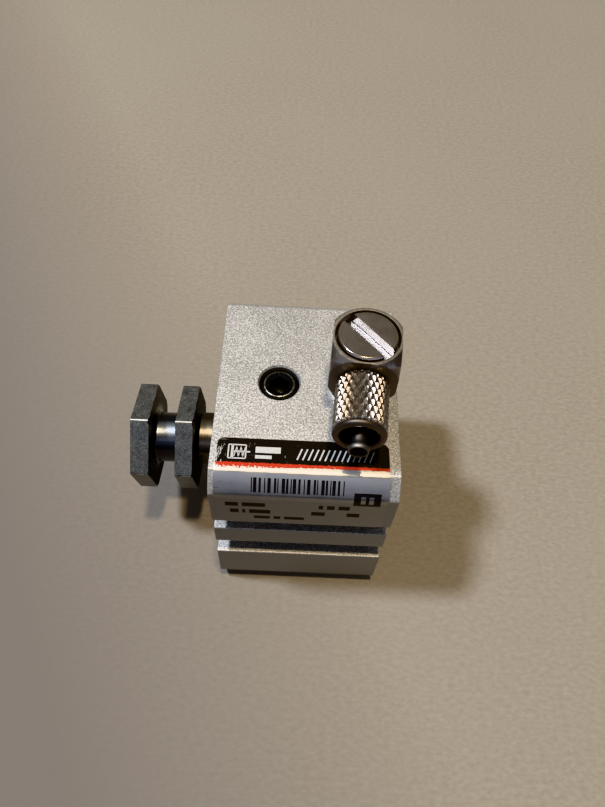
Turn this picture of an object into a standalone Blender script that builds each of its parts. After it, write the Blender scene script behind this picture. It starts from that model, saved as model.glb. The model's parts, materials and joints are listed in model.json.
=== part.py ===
"""A compact spring-return air cylinder, lying on its side with its ports up.

It carries a hexagonal T-slot coupling on its rod, and a swivelling elbow fitting for 4 mm tube on its port.

Frame: metres. The origin is on the rod axis at the middle of the head-end face. The rod points along -X, the
ports face +Z and the nameplate is on the -Y side. Lengths along the body are given from the rod-end face.
"""

import math

import bmesh
import bpy
from mathutils import Vector

MM = 0.001
GAP = 0.05 * MM  # between pieces that touch
RUN_GAP = 0.08 * MM  # between pieces that slide or turn on each other

# Cylinder body: an extruded square bar, its corners turned to a common circle
SIDE = 29.0 * MM
LENGTH = 22.0 * MM
CORNER_RADIUS = 19.0 * MM
BOLT_PITCH = 20.0 * MM
BOLT_HOLE_RADIUS = 1.75 * MM
BOLT_THREAD_RADIUS = 2.0 * MM
BOLT_THREAD_DEPTH = 7.0 * MM

# Sensor rails along both flanks: two slots with a lower rib between them
RAIL_HALF_WIDTH = 2.05 * MM
RAIL_RECESS = 0.3 * MM
SLOT_WIDTH = 3.0 * MM
SLOT_DEPTH = 2.5 * MM

# Bore and ports
BORE_RADIUS = 8.0 * MM
BORE_END = 18.2 * MM
SEAT_RADIUS = 8.7 * MM
SEAT_DEPTH = 5.0 * MM
RING_GROOVE = (0.9 * MM, 1.9 * MM)
RING_GROOVE_RADIUS = 9.2 * MM
RING_BODY_RADIUS = 7.5 * MM
RING_EAR_RADIUS = 6.3 * MM
RING_HALF_GAP = math.radians(24)
RING_EAR = math.radians(9)
RING_HOLE_RADIUS = 0.5 * MM
RING_HOLE_PITCH_RADIUS = 7.15 * MM
PORT_RADIUS = 2.5 * MM
PORT_DEPTH = 4.8 * MM
PORT_SINK = 0.3 * MM
ROD_PORT_X = 7.5 * MM
HEAD_PORT_X = 17.3 * MM
PASSAGE_RADIUS = 0.8 * MM
HEAD_PASSAGE_X = 17.35 * MM

# Collar: the rod's bearing, with grooves for its gasket and for the rod's seal
COLLAR_FRONT = 2.0 * MM
COLLAR_END = 6.4 * MM
GASKET_GROOVE = (2.7 * MM, 3.9 * MM)
GASKET_GROOVE_RADIUS = 6.9 * MM
GASKET_MEAN_RADIUS = 7.8 * MM
GASKET_SECTION = (0.5 * MM, 0.8 * MM)
ROD_SEAL_END = 4.3 * MM
ROD_SEAL_WIDTH = 1.3 * MM
SEAL_EDGE = 0.1 * MM
SEAL_LIP = 0.3 * MM

# Piston, rod and return spring: the stroke ends where the piston meets the collar
STROKE = 5.0 * MM
END_CLEARANCE = 0.5 * MM
PISTON_LENGTH = 5.5 * MM
PISTON_RADIUS = 7.9 * MM
PISTON_GROOVE = (3.0 * MM, 4.8 * MM)
PISTON_GROOVE_RADIUS = 6.1 * MM
PISTON_SEAL_CUP = 0.7 * MM
ROD_RADIUS = 4.0 * MM
ROD_OUT = 3.5 * MM
ROD_FLATS = 6.0 * MM
ROD_FLATS_ANGLE = math.radians(14.3)
ROD_FLATS_END = 0.2 * MM
ROD_THREAD_RADIUS = 2.0 * MM
ROD_THREAD_DEPTH = 7.5 * MM
ROD_STEM_RADIUS = 3.0 * MM
RIVET_HEIGHT = 0.25 * MM
SPRING_POCKET = (5.9 * MM, 7.3 * MM)
COLLAR_POCKET_DEPTH = 1.5 * MM
PISTON_POCKET_DEPTH = 2.5 * MM
SPRING_MEAN_RADIUS = 6.6 * MM
SPRING_WIRE_RADIUS = 0.45 * MM
SPRING_TURNS = 4.5
SPRING_CLOSED_TURNS = 1.0
SPRING_CLOSED_GAP = 0.02 * MM

# Rod coupling: two hexagons on a round neck, turned from one hexagonal bar
HEX_ACROSS_FLATS = 12.9 * MM
HEX_CORNER_ANGLE = math.radians(44.3)
HEX_CHAMFER = 0.2 * MM
INNER_HEX = (3.6 * MM, 5.95 * MM)
OUTER_HEX = (9.35 * MM, 11.8 * MM)
NECK_RADIUS = 3.45 * MM
NECK_FILLET = 0.45 * MM
STUD_LENGTH = 6.3 * MM
STUD_EDGE = 0.4 * MM
TURNED_SLOPE = 0.58  # of a chamfer turned at 30 degrees to the face

# Nameplate: thin sheet bent over the corner above the -Y flank
PLATE_X = (0.65 * MM, 20.75 * MM)
PLATE_TOP_Y = -8.2 * MM
PLATE_LOW_Z = 5.4 * MM
PLATE_THICKNESS = 0.12 * MM
PLATE_GAP = 0.03 * MM

# Elbow fitting: heights are above the port face, distances along the outlet are from the screw axis
ELBOW_YAW = math.radians(-4.0)
WASHER_HEIGHT = 0.9 * MM
WASHER_RADII = (2.65 * MM, 3.2 * MM, 3.9 * MM)
ELBOW_BOTTOM = 1.0 * MM
ELBOW_TOP = 9.8 * MM
ELBOW_WIDTH = 7.75 * MM
ELBOW_FRONT = 3.9 * MM
ELBOW_BACK_RADIUS = 4.35 * MM
ELBOW_TOP_RADIUS = 4.05 * MM
ELBOW_SLOPE = 1.0  # of the chamfers turned about its two axes
OUTLET_HEIGHT = 6.0 * MM
OUTLET_RADIUS = 1.6 * MM
ELBOW_CHAMBER = (0.45 * MM, 0.8 * MM, 1.2 * MM)  # depth, half its height, and half with its cones
FITTING_EDGE = 0.25 * MM
SCREW_RADIUS = 2.42 * MM
SCREW_BORE = 1.1 * MM
SCREW_CROSS_HOLE = 0.8 * MM
SCREW_HEAD_RADIUS = 3.44 * MM
SCREW_TOP = 10.0 * MM
SCREW_HEAD_BOTTOM = 8.4 * MM
SCREW_SLOT = (1.5 * MM, 1.35 * MM)
SCREW_SLOT_ANGLE = math.radians(-48.0)
COUNTERBORE_RADIUS = 3.72 * MM
COUNTERBORE_FLOOR = 7.7 * MM
NUT_X = (4.0 * MM, 11.1 * MM)
NUT_RADIUS = 3.08 * MM
NUT_LIP_RADIUS = 3.02 * MM
NUT_MOUTH_RADIUS = 2.2 * MM
NUT_KNURL_END = 10.4 * MM
NUT_THREAD_END = 7.6 * MM
FITTING_THREAD_RADIUS = 2.38 * MM
BARB_SPIGOT = (3.3 * MM, 1.55 * MM)
BARB_THREAD_END = 7.4 * MM
BARB_STEM_START = 9.2 * MM
BARB_STEM_RADIUS = 0.75 * MM
BARB_CONE = 0.4 * MM
BARB_FLARE = (12.2 * MM, 1.2 * MM)
BARB_TIP = (12.8 * MM, 1.12 * MM)
BARB_BORE = 0.5 * MM
BARB_MOUTH = 0.88 * MM

# Plug in the rod-side port
PLUG_RECESS = 0.35 * MM
PLUG_SOCKET = (2.5 * MM, 2.0 * MM)
PLUG_ORIFICE = 0.3 * MM

# Sides of round pieces: FINE suits hexagonal pieces too, because six divides it
FINE = 36
COARSE = 24
SMALL = 12
BOLT_HOLE_SIDES = 16
CORNER_STEPS = 4
OUTSIDE = 1.0 * MM  # how far a cutter passes the surface that it opens

# Worked out from the above
HALF = SIDE / 2
PISTON_FRONT = COLLAR_END + STROKE + END_CLEARANCE
PISTON_X = (PISTON_FRONT, PISTON_FRONT + PISTON_LENGTH)
CORNER_FLAT = math.sqrt(CORNER_RADIUS**2 - HALF**2)
X_DIR = Vector((1, 0, 0))
Y_DIR = Vector((0, 1, 0))
Z_DIR = Vector((0, 0, 1))


def from_rod_end(distance):
    """The X of a point at this distance inside the rod-end face."""
    return distance - LENGTH


SCREW_AXIS = Vector((from_rod_end(HEAD_PORT_X), 0, HALF))

# ---------------------------------------------------------------------------------------------- shape helpers


def new_object(name, bm, location=(0, 0, 0), parent=None):
    """A named object from a closed bmesh, its faces turned outwards."""
    bmesh.ops.remove_doubles(bm, verts=bm.verts, dist=0.001 * MM)
    bmesh.ops.recalc_face_normals(bm, faces=bm.faces)
    mesh = bpy.data.meshes.new(name)
    bm.to_mesh(mesh)
    bm.free()
    mesh.shade_smooth()
    mesh.set_sharp_from_angle(angle=math.radians(30))
    obj = bpy.data.objects.new(name, mesh)
    bpy.context.scene.collection.objects.link(obj)
    obj.location = location
    obj.parent = parent
    return obj


def loft(rings):
    """A bmesh that joins rings of equally many points, capped at both ends."""
    bm = bmesh.new()
    rows = [[bm.verts.new(point) for point in ring] for ring in rings]
    for low, high in zip(rows, rows[1:]):
        for i in range(len(low)):
            j = (i + 1) % len(low)
            bm.faces.new((low[i], low[j], high[j], high[i]))
    bm.faces.new(list(reversed(rows[0])))
    bm.faces.new(rows[-1])
    return bm


def turned(profile, segments=FINE, along=X_DIR, side=Y_DIR, up=Z_DIR, offset=Vector((0, 0, 0)), start=0.0):
    """A turned solid. Its profile is a closed loop of (distance, radius), with radius 0 on the axis."""
    bm = bmesh.new()
    rings = []
    for distance, radius in profile:
        centre = offset + along * distance
        if radius == 0:
            rings.append([bm.verts.new(centre)] * segments)
            continue
        ring = []
        for k in range(segments):
            angle = start + 2 * math.pi * k / segments
            ring.append(bm.verts.new(centre + radius * (math.cos(angle) * side + math.sin(angle) * up)))
        rings.append(ring)
    for low, high in zip(rings, rings[1:] + rings[:1]):
        for k in range(segments):
            j = (k + 1) % segments
            corners = []
            for vert in (low[k], low[j], high[j], high[k]):
                if vert not in corners:
                    corners.append(vert)
            if len(corners) > 2:
                bm.faces.new(corners)
    return bm


def upright(profile, segments=COARSE, centre=Vector((0, 0, 0)), start=0.0):
    """A turned solid about a vertical axis."""
    return turned(profile, segments, Z_DIR, X_DIR, Y_DIR, centre, start)


def from_rod_end_profile(points, segments=FINE, start=0.0):
    """A solid turned about the rod axis, its profile given by distances inside the rod-end face."""
    return turned([(from_rod_end(distance), radius) for distance, radius in points], segments, start=start)


def outlet_turned(profile, segments=COARSE, height=0.0):
    """A solid turned about the elbow's outlet, which points towards its parent's -Y."""
    return turned(profile, segments, -Y_DIR, X_DIR, Z_DIR, Z_DIR * height)


def bar(outline, low, high):
    """A straight bar along X with this (y, z) outline."""
    return loft([[Vector((x, y, z)) for y, z in outline] for x in (low, high)])


def arc(centre, radius, start, end, steps):
    """Points on an arc, both ends included."""
    points = []
    for k in range(steps + 1):
        angle = start + (end - start) * k / steps
        points.append((centre[0] + radius * math.cos(angle), centre[1] + radius * math.sin(angle)))
    return points


def merged(*parts):
    """Several separate bmeshes in one."""
    whole = bmesh.new()
    for part in parts:
        mesh = bpy.data.meshes.new("merged")
        part.to_mesh(mesh)
        part.free()
        whole.from_mesh(mesh)
        bpy.data.meshes.remove(mesh)
    return whole


def cutter(name, bm, location=(0, 0, 0), parent=None):
    """A shape that only cuts others."""
    obj = new_object(name, bm, location, parent)
    obj.hide_render = True
    obj.display_type = "WIRE"
    return obj


def cut(obj, tool, operation="DIFFERENCE"):
    modifier = obj.modifiers.new(tool.name, "BOOLEAN")
    modifier.operation = operation
    modifier.solver = "EXACT"
    modifier.object = tool


def empty(name, location, yaw=0.0):
    """A parent on a joint's axis."""
    obj = bpy.data.objects.new(name, None)
    bpy.context.scene.collection.objects.link(obj)
    obj.location = location
    obj.rotation_euler = (0, 0, yaw)
    return obj


def paint(obj, name, colour, roughness, metallic):
    """A Principled material of the object's own."""
    material = bpy.data.materials.new(name)
    material.use_nodes = True
    shader = material.node_tree.nodes["Principled BSDF"]
    shader.inputs["Base Color"].default_value = (*colour, 1)
    shader.inputs["Roughness"].default_value = roughness
    shader.inputs["Metallic"].default_value = metallic
    material.diffuse_color = (*colour, 1)
    obj.data.materials.append(material)


# ------------------------------------------------------------------------------------------------ body pieces


def body_outline():
    """The section of the extrusion, anticlockwise from the lower slot of the +Y flank."""
    slot_top = RAIL_HALF_WIDTH + SLOT_WIDTH
    floor = HALF - SLOT_DEPTH
    rib = HALF - RAIL_RECESS
    turn = math.atan2(CORNER_FLAT, HALF)
    quarter = math.pi / 2
    half_flank = [(HALF, slot_top), (floor, slot_top), (floor, RAIL_HALF_WIDTH), (rib, RAIL_HALF_WIDTH)]
    flank = [(y, -z) for y, z in half_flank] + list(reversed(half_flank))
    points = list(flank)
    points += arc((0, 0), CORNER_RADIUS, turn, quarter - turn, CORNER_STEPS)
    points += arc((0, 0), CORNER_RADIUS, quarter + turn, 2 * quarter - turn, CORNER_STEPS)
    points += [(-y, -z) for y, z in flank]
    points += arc((0, 0), CORNER_RADIUS, 2 * quarter + turn, 3 * quarter - turn, CORNER_STEPS)
    points += arc((0, 0), CORNER_RADIUS, 3 * quarter + turn, 4 * quarter - turn, CORNER_STEPS)
    return points


def bore_profile():
    """The stepped bore, from outside the rod-end face to the head wall."""
    lead = 0.3 * MM
    return [
        (-OUTSIDE, 0),
        (-OUTSIDE, SEAT_RADIUS + lead),
        (0, SEAT_RADIUS + lead),
        (lead, SEAT_RADIUS),
        (RING_GROOVE[0], SEAT_RADIUS),
        (RING_GROOVE[0], RING_GROOVE_RADIUS),
        (RING_GROOVE[1], RING_GROOVE_RADIUS),
        (RING_GROOVE[1], SEAT_RADIUS),
        (SEAT_DEPTH, SEAT_RADIUS),
        (SEAT_DEPTH, BORE_RADIUS),
        (BORE_END, BORE_RADIUS),
        (BORE_END, 0),
    ]


def bolt_profile():
    """A through hole, tapped from both ends."""
    run_out = BOLT_THREAD_DEPTH + 0.4 * MM
    return [
        (from_rod_end(-OUTSIDE), 0),
        (from_rod_end(-OUTSIDE), BOLT_THREAD_RADIUS),
        (from_rod_end(BOLT_THREAD_DEPTH), BOLT_THREAD_RADIUS),
        (from_rod_end(run_out), BOLT_HOLE_RADIUS),
        (-run_out, BOLT_HOLE_RADIUS),
        (-BOLT_THREAD_DEPTH, BOLT_THREAD_RADIUS),
        (OUTSIDE, BOLT_THREAD_RADIUS),
        (OUTSIDE, 0),
    ]


def port_cutter(port_x, passage_x):
    """A port: a countersunk hole for the thread, and a small passage down into the bore."""
    above = HALF + OUTSIDE
    floor = HALF - PORT_DEPTH
    thread = upright(
        [
            (floor, 0),
            (floor, PORT_RADIUS),
            (HALF - PORT_SINK, PORT_RADIUS),
            (HALF, PORT_RADIUS + PORT_SINK),
            (above, PORT_RADIUS + PORT_SINK),
            (above, 0),
        ],
        COARSE,
        Vector((from_rod_end(port_x), 0, 0)),
    )
    low = BORE_RADIUS - OUTSIDE
    high = floor + OUTSIDE / 2
    passage = upright(
        [(low, 0), (low, PASSAGE_RADIUS), (high, PASSAGE_RADIUS), (high, 0)],
        SMALL,
        Vector((from_rod_end(passage_x), 0, 0)),
        start=math.pi / SMALL / 2,
    )
    return thread, passage


def make_body():
    body = new_object("cylinder_body", bar(body_outline(), from_rod_end(0), 0))
    cut(body, cutter("cut_bore", from_rod_end_profile(bore_profile())))
    bolt_holes = []
    for y in (-BOLT_PITCH / 2, BOLT_PITCH / 2):
        for z in (-BOLT_PITCH / 2, BOLT_PITCH / 2):
            bolt_holes.append(turned(bolt_profile(), BOLT_HOLE_SIDES, offset=Vector((0, y, z))))
    cut(body, cutter("cut_bolt_holes", merged(*bolt_holes)))
    for name, port_x, passage_x in (
        ("rod_port", ROD_PORT_X, ROD_PORT_X),
        ("head_port", HEAD_PORT_X, HEAD_PASSAGE_X),
    ):
        thread, passage = port_cutter(port_x, passage_x)
        cut(body, cutter("cut_" + name, thread))
        cut(body, cutter("cut_" + name + "_passage", passage))
    paint(body, "anodised_aluminium", (0.56, 0.55, 0.53), 0.42, 1.0)
    return body


def make_nameplate():
    """A thin sheet that follows the top face, the turned corner and the -Y flank."""
    turn = math.atan2(CORNER_FLAT, HALF)

    def line(offset):
        corner = arc((0, 0), CORNER_RADIUS + offset, math.pi / 2 + turn, math.pi - turn, 2 * CORNER_STEPS)
        return [(PLATE_TOP_Y, HALF + offset)] + corner + [(-HALF - offset, PLATE_LOW_Z)]

    inner = line(PLATE_GAP)
    outer = line(PLATE_GAP + PLATE_THICKNESS)
    bm = bar(outer + list(reversed(inner)), from_rod_end(PLATE_X[0]), from_rod_end(PLATE_X[1]))
    plate = new_object("nameplate", bm)
    paint(plate, "nameplate_foil", (0.55, 0.57, 0.58), 0.4, 0.8)


def make_collar():
    """The rod's bearing: a flange on the seat, grooved for its gasket, and a spigot in the bore."""
    seat = SEAT_RADIUS - RUN_GAP
    spigot = BORE_RADIUS - RUN_GAP
    hole = ROD_RADIUS + RUN_GAP
    pocket_floor = COLLAR_END - COLLAR_POCKET_DEPTH
    points = [
        (COLLAR_FRONT, hole + ROD_SEAL_WIDTH),
        (COLLAR_FRONT, seat),
        (GASKET_GROOVE[0], seat),
        (GASKET_GROOVE[0], GASKET_GROOVE_RADIUS),
        (GASKET_GROOVE[1], GASKET_GROOVE_RADIUS),
        (GASKET_GROOVE[1], seat),
        (SEAT_DEPTH - GAP, seat),
        (SEAT_DEPTH - GAP, spigot),
        (COLLAR_END, spigot),
        (COLLAR_END, SPRING_POCKET[1]),
        (pocket_floor, SPRING_POCKET[1]),
        (pocket_floor, SPRING_POCKET[0]),
        (COLLAR_END, SPRING_POCKET[0]),
        (COLLAR_END, hole),
        (ROD_SEAL_END, hole),
        (ROD_SEAL_END, hole + ROD_SEAL_WIDTH),
    ]
    collar = new_object("collar", from_rod_end_profile(points))
    paint(collar, "collar_aluminium", (0.42, 0.41, 0.4), 0.45, 1.0)


def make_tube_gasket():
    """An O-ring squeezed in the collar's groove, so that its section is oval."""
    middle = (GASKET_GROOVE[0] + GASKET_GROOVE[1]) / 2
    half_width, half_height = GASKET_SECTION
    sides = 10
    points = []
    for k in range(sides):
        angle = 2 * math.pi * k / sides
        radius = GASKET_MEAN_RADIUS + half_height * math.sin(angle)
        points.append((middle + half_width * math.cos(angle), radius))
    gasket = new_object("tube_gasket", from_rod_end_profile(points))
    paint(gasket, "nitrile_rubber", (0.03, 0.03, 0.03), 0.6, 0.0)


def make_rod_seal():
    """A lip seal in the collar's front recess, round the rod."""
    lip = ROD_RADIUS + RUN_GAP
    heel = lip + SEAL_LIP
    outer = lip + ROD_SEAL_WIDTH - GAP
    front = COLLAR_FRONT + SEAL_EDGE
    points = [
        (front, outer),
        (ROD_SEAL_END - GAP, outer),
        (ROD_SEAL_END - GAP, heel),
        (front + SEAL_EDGE + SEAL_LIP, heel),
        (front + SEAL_EDGE, lip),
        (front, lip + SEAL_EDGE),
    ]
    seal = new_object("rod_seal", from_rod_end_profile(points))
    paint(seal, "nitrile_rubber_lip", (0.03, 0.03, 0.03), 0.55, 0.0)


def make_retaining_ring():
    """An internal snap ring with two eared ends and a gap at the bottom."""
    low, high = (RING_GROOVE[0] + GAP, RING_GROOVE[1] - GAP)
    outer = RING_GROOVE_RADIUS - GAP
    down = -math.pi / 2
    begin = down + RING_HALF_GAP
    sweep = 2 * (math.pi - RING_HALF_GAP)
    steps = 28
    outline = arc((0, 0), outer, begin, begin + sweep, steps)
    for k in range(steps, -1, -1):
        angle = begin + sweep * k / steps
        from_end = min(k, steps - k) * sweep / steps
        radius = RING_EAR_RADIUS if from_end < 1.6 * RING_EAR else RING_BODY_RADIUS
        outline.append((radius * math.cos(angle), radius * math.sin(angle)))
    ring = new_object("retaining_ring", bar(outline, from_rod_end(low), from_rod_end(high)))
    ends = (from_rod_end(low - OUTSIDE), from_rod_end(high + OUTSIDE))
    profile = [(ends[0], 0), (ends[0], RING_HOLE_RADIUS), (ends[1], RING_HOLE_RADIUS), (ends[1], 0)]
    holes = []
    for sign in (-1, 1):
        angle = down + sign * (RING_HALF_GAP + RING_EAR)
        centre = RING_HOLE_PITCH_RADIUS * Vector((0, math.cos(angle), math.sin(angle)))
        holes.append(turned(profile, SMALL, offset=centre))
    cut(ring, cutter("cut_ring_holes", merged(*holes)))
    paint(ring, "phosphate_spring_steel", (0.06, 0.06, 0.06), 0.5, 0.8)


# ---------------------------------------------------------------------------------------------- moving pieces


def make_piston(parent):
    """The piston: a spring pocket in front, a groove for its seal, and a thin land behind."""
    front, back = PISTON_X
    hole = ROD_STEM_RADIUS + GAP
    groove_front, groove_back = (front + distance for distance in PISTON_GROOVE)
    points = [
        (front, hole),
        (front, SPRING_POCKET[0]),
        (front + PISTON_POCKET_DEPTH, SPRING_POCKET[0]),
        (front + PISTON_POCKET_DEPTH, SPRING_POCKET[1]),
        (front, SPRING_POCKET[1]),
        (front, PISTON_RADIUS),
        (groove_front, PISTON_RADIUS),
        (groove_front, PISTON_GROOVE_RADIUS),
        (groove_back, PISTON_GROOVE_RADIUS),
        (groove_back, PISTON_RADIUS),
        (back, PISTON_RADIUS),
        (back, hole),
    ]
    piston = new_object("piston", from_rod_end_profile(points), parent=parent)
    paint(piston, "piston_aluminium", (0.6, 0.6, 0.6), 0.35, 1.0)


def make_piston_seal(parent):
    """A U-cup in the piston's groove, its lips towards the head end."""
    inner = PISTON_GROOVE_RADIUS + RUN_GAP
    lip = BORE_RADIUS - RUN_GAP
    heel = PISTON_X[0] + PISTON_GROOVE[0] + SEAL_EDGE
    mouth = PISTON_X[0] + PISTON_GROOVE[1] - SEAL_EDGE
    middle = (inner + lip) / 2
    points = [
        (heel, inner),
        (heel, lip - SEAL_LIP),
        (mouth - SEAL_LIP, lip),
        (mouth, lip - SEAL_EDGE),
        (mouth - PISTON_SEAL_CUP, middle),
        (mouth, inner + SEAL_LIP),
        (mouth, inner),
    ]
    seal = new_object("piston_seal", from_rod_end_profile(points), parent=parent)
    paint(seal, "nitrile_rubber_cup", (0.03, 0.03, 0.03), 0.55, 0.0)


def make_piston_rod(parent):
    """The rod: a stem riveted into the piston, two wrench flats at its outer end, and a tapped hole."""
    edge = 0.4 * MM
    shoulder = PISTON_X[0] - GAP
    rivet = PISTON_X[1] + RIVET_HEIGHT
    points = [
        (-ROD_OUT + ROD_THREAD_DEPTH, 0),
        (-ROD_OUT + ROD_THREAD_DEPTH, ROD_THREAD_RADIUS),
        (-ROD_OUT, ROD_THREAD_RADIUS),
        (-ROD_OUT, ROD_RADIUS - edge),
        (-ROD_OUT + edge, ROD_RADIUS),
        (shoulder, ROD_RADIUS),
        (shoulder, ROD_STEM_RADIUS),
        (rivet, ROD_STEM_RADIUS),
        (rivet, 0),
    ]
    rod = new_object("piston_rod", from_rod_end_profile(points), parent=parent)
    flats = []
    for sign in (-1, 1):
        normal = sign * (math.cos(ROD_FLATS_ANGLE) * Y_DIR + math.sin(ROD_FLATS_ANGLE) * Z_DIR)
        across = X_DIR.cross(normal)
        near = normal * (ROD_FLATS / 2)
        far = normal * (ROD_RADIUS + OUTSIDE)
        reach = across * (ROD_RADIUS + OUTSIDE)
        section = (near - reach, near + reach, far + reach, far - reach)
        ends = (from_rod_end(-ROD_OUT - OUTSIDE), from_rod_end(-ROD_FLATS_END))
        flats.append(loft([[X_DIR * x + p for p in section] for x in ends]))
    cut(rod, cutter("cut_rod_flats", merged(*flats), parent=parent))
    paint(rod, "stainless_rod", (0.62, 0.6, 0.57), 0.2, 1.0)


def make_spring():
    """A compression spring between the collar's pocket and the piston's pocket."""
    low = from_rod_end(COLLAR_END - COLLAR_POCKET_DEPTH) + GAP + SPRING_WIRE_RADIUS
    high = from_rod_end(PISTON_X[0] + PISTON_POCKET_DEPTH) - GAP - SPRING_WIRE_RADIUS
    steps_per_turn = 16
    wire_sides = 6
    total = int(SPRING_TURNS * steps_per_turn)
    closed_rise = 2 * SPRING_WIRE_RADIUS + SPRING_CLOSED_GAP
    open_turns = SPRING_TURNS - 2 * SPRING_CLOSED_TURNS
    open_rise = (high - low - 2 * SPRING_CLOSED_TURNS * closed_rise) / open_turns

    def along(turn):
        first = min(turn, SPRING_CLOSED_TURNS) * closed_rise
        middle = min(max(turn - SPRING_CLOSED_TURNS, 0), open_turns) * open_rise
        last = max(turn - SPRING_CLOSED_TURNS - open_turns, 0) * closed_rise
        return low + first + middle + last

    rings = []
    for step in range(total + 1):
        turn = step / steps_per_turn
        angle = 2 * math.pi * turn
        outward = math.cos(angle) * Y_DIR + math.sin(angle) * Z_DIR
        centre = X_DIR * along(turn) + SPRING_MEAN_RADIUS * outward
        ring = []
        for k in range(wire_sides):
            a = 2 * math.pi * k / wire_sides
            ring.append(centre + SPRING_WIRE_RADIUS * (math.cos(a) * outward + math.sin(a) * X_DIR))
        rings.append(ring)
    spring = new_object("return_spring", loft(rings))
    paint(spring, "spring_wire", (0.35, 0.33, 0.3), 0.35, 1.0)


def hexagon(across_flats, corner_angle):
    radius = across_flats / math.sqrt(3)
    return [
        (radius * math.cos(corner_angle + k * math.pi / 3), radius * math.sin(corner_angle + k * math.pi / 3))
        for k in range(6)
    ]


def make_rod_coupling(parent):
    """Two hexagons on a round neck, each chamfered towards the body, and a threaded stud in the rod."""
    corner = HEX_ACROSS_FLATS / math.sqrt(3)
    beyond = corner + OUTSIDE
    drop = HEX_CHAMFER + OUTSIDE * TURNED_SLOPE
    inset = corner - HEX_CHAMFER / TURNED_SLOPE
    stud = ROD_THREAD_RADIUS - RUN_GAP
    stud_end = STUD_LENGTH - ROD_OUT
    near, far = INNER_HEX
    low, high = OUTER_HEX
    waist = 0.3 * NECK_FILLET
    points = [
        (stud_end, 0),
        (stud_end, stud - STUD_EDGE),
        (stud_end - STUD_EDGE, stud),
        (-near, stud),
        (-near, inset),
        (-near - drop, beyond),
        (-far, beyond),
        (-far, NECK_RADIUS + NECK_FILLET),
        (-far - waist, NECK_RADIUS + waist),
        (-far - NECK_FILLET, NECK_RADIUS),
        (-low + NECK_FILLET, NECK_RADIUS),
        (-low + waist, NECK_RADIUS + waist),
        (-low, NECK_RADIUS + NECK_FILLET),
        (-low, inset),
        (-low - drop, beyond),
        (-high, beyond),
        (-high, 0),
    ]
    bm = from_rod_end_profile(points, start=HEX_CORNER_ANGLE)
    coupling = new_object("rod_coupling", bm, parent=parent)
    blank = bar(
        hexagon(HEX_ACROSS_FLATS, HEX_CORNER_ANGLE),
        from_rod_end(-high - OUTSIDE),
        from_rod_end(ROD_THREAD_DEPTH),
    )
    cut(coupling, cutter("cut_hex_bar", blank, parent=parent), "INTERSECT")
    paint(coupling, "blackened_steel", (0.1, 0.11, 0.11), 0.45, 0.9)


# ------------------------------------------------------------------------------------------ ports and fitting


def make_orifice_plug():
    """A socket-headed plug in the rod-side port, with a fine hole that lets that side breathe."""
    radius = PORT_RADIUS - RUN_GAP
    edge = 0.3 * MM
    bottom = HALF - PORT_DEPTH + edge
    top = HALF - PLUG_RECESS
    points = [
        (bottom, 0),
        (bottom, radius - edge),
        (bottom + edge, radius),
        (top - edge, radius),
        (top, radius - edge),
        (top, 0),
    ]
    centre = Vector((from_rod_end(ROD_PORT_X), 0, 0))
    plug = new_object("orifice_plug", upright(points, COARSE, centre))
    across_flats, depth = PLUG_SOCKET
    corners = hexagon(across_flats, math.pi / 2)
    socket = loft([[centre + Vector((x, y, z)) for x, y in corners] for z in (top - depth, top + OUTSIDE)])
    cut(plug, cutter("cut_plug_socket", socket))
    low = bottom - OUTSIDE
    hole = upright([(low, 0), (low, PLUG_ORIFICE), (top, PLUG_ORIFICE), (top, 0)], SMALL, centre)
    cut(plug, cutter("cut_plug_orifice", hole))
    paint(plug, "black_oxide_plug", (0.04, 0.04, 0.04), 0.4, 0.8)


def make_washers():
    """Two bonded washers, a steel ring round a rubber one: under the elbow, and under the screw head."""
    inner, middle, outer = WASHER_RADII
    floor = HALF + COUNTERBORE_FLOOR
    places = (
        ("lower", HALF + GAP, HALF + GAP + WASHER_HEIGHT, outer),
        ("upper", floor + GAP, HALF + SCREW_HEAD_BOTTOM - GAP, SCREW_HEAD_RADIUS),
    )
    for name, low, high, rim in places:
        centre = Vector((SCREW_AXIS.x, 0, 0))
        steel = upright([(low, middle), (low, rim), (high, rim), (high, middle)], COARSE, centre)
        ring = new_object(name + "_washer", steel)
        paint(ring, name + "_washer_steel", (0.5, 0.48, 0.45), 0.3, 1.0)
        bead = middle - GAP
        rubber = upright([(low, inner), (low, bead), (high, bead), (high, inner)], COARSE, centre)
        seal = new_object(name + "_washer_seal", rubber)
        paint(seal, name + "_washer_rubber", (0.03, 0.03, 0.03), 0.6, 0.0)


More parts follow.
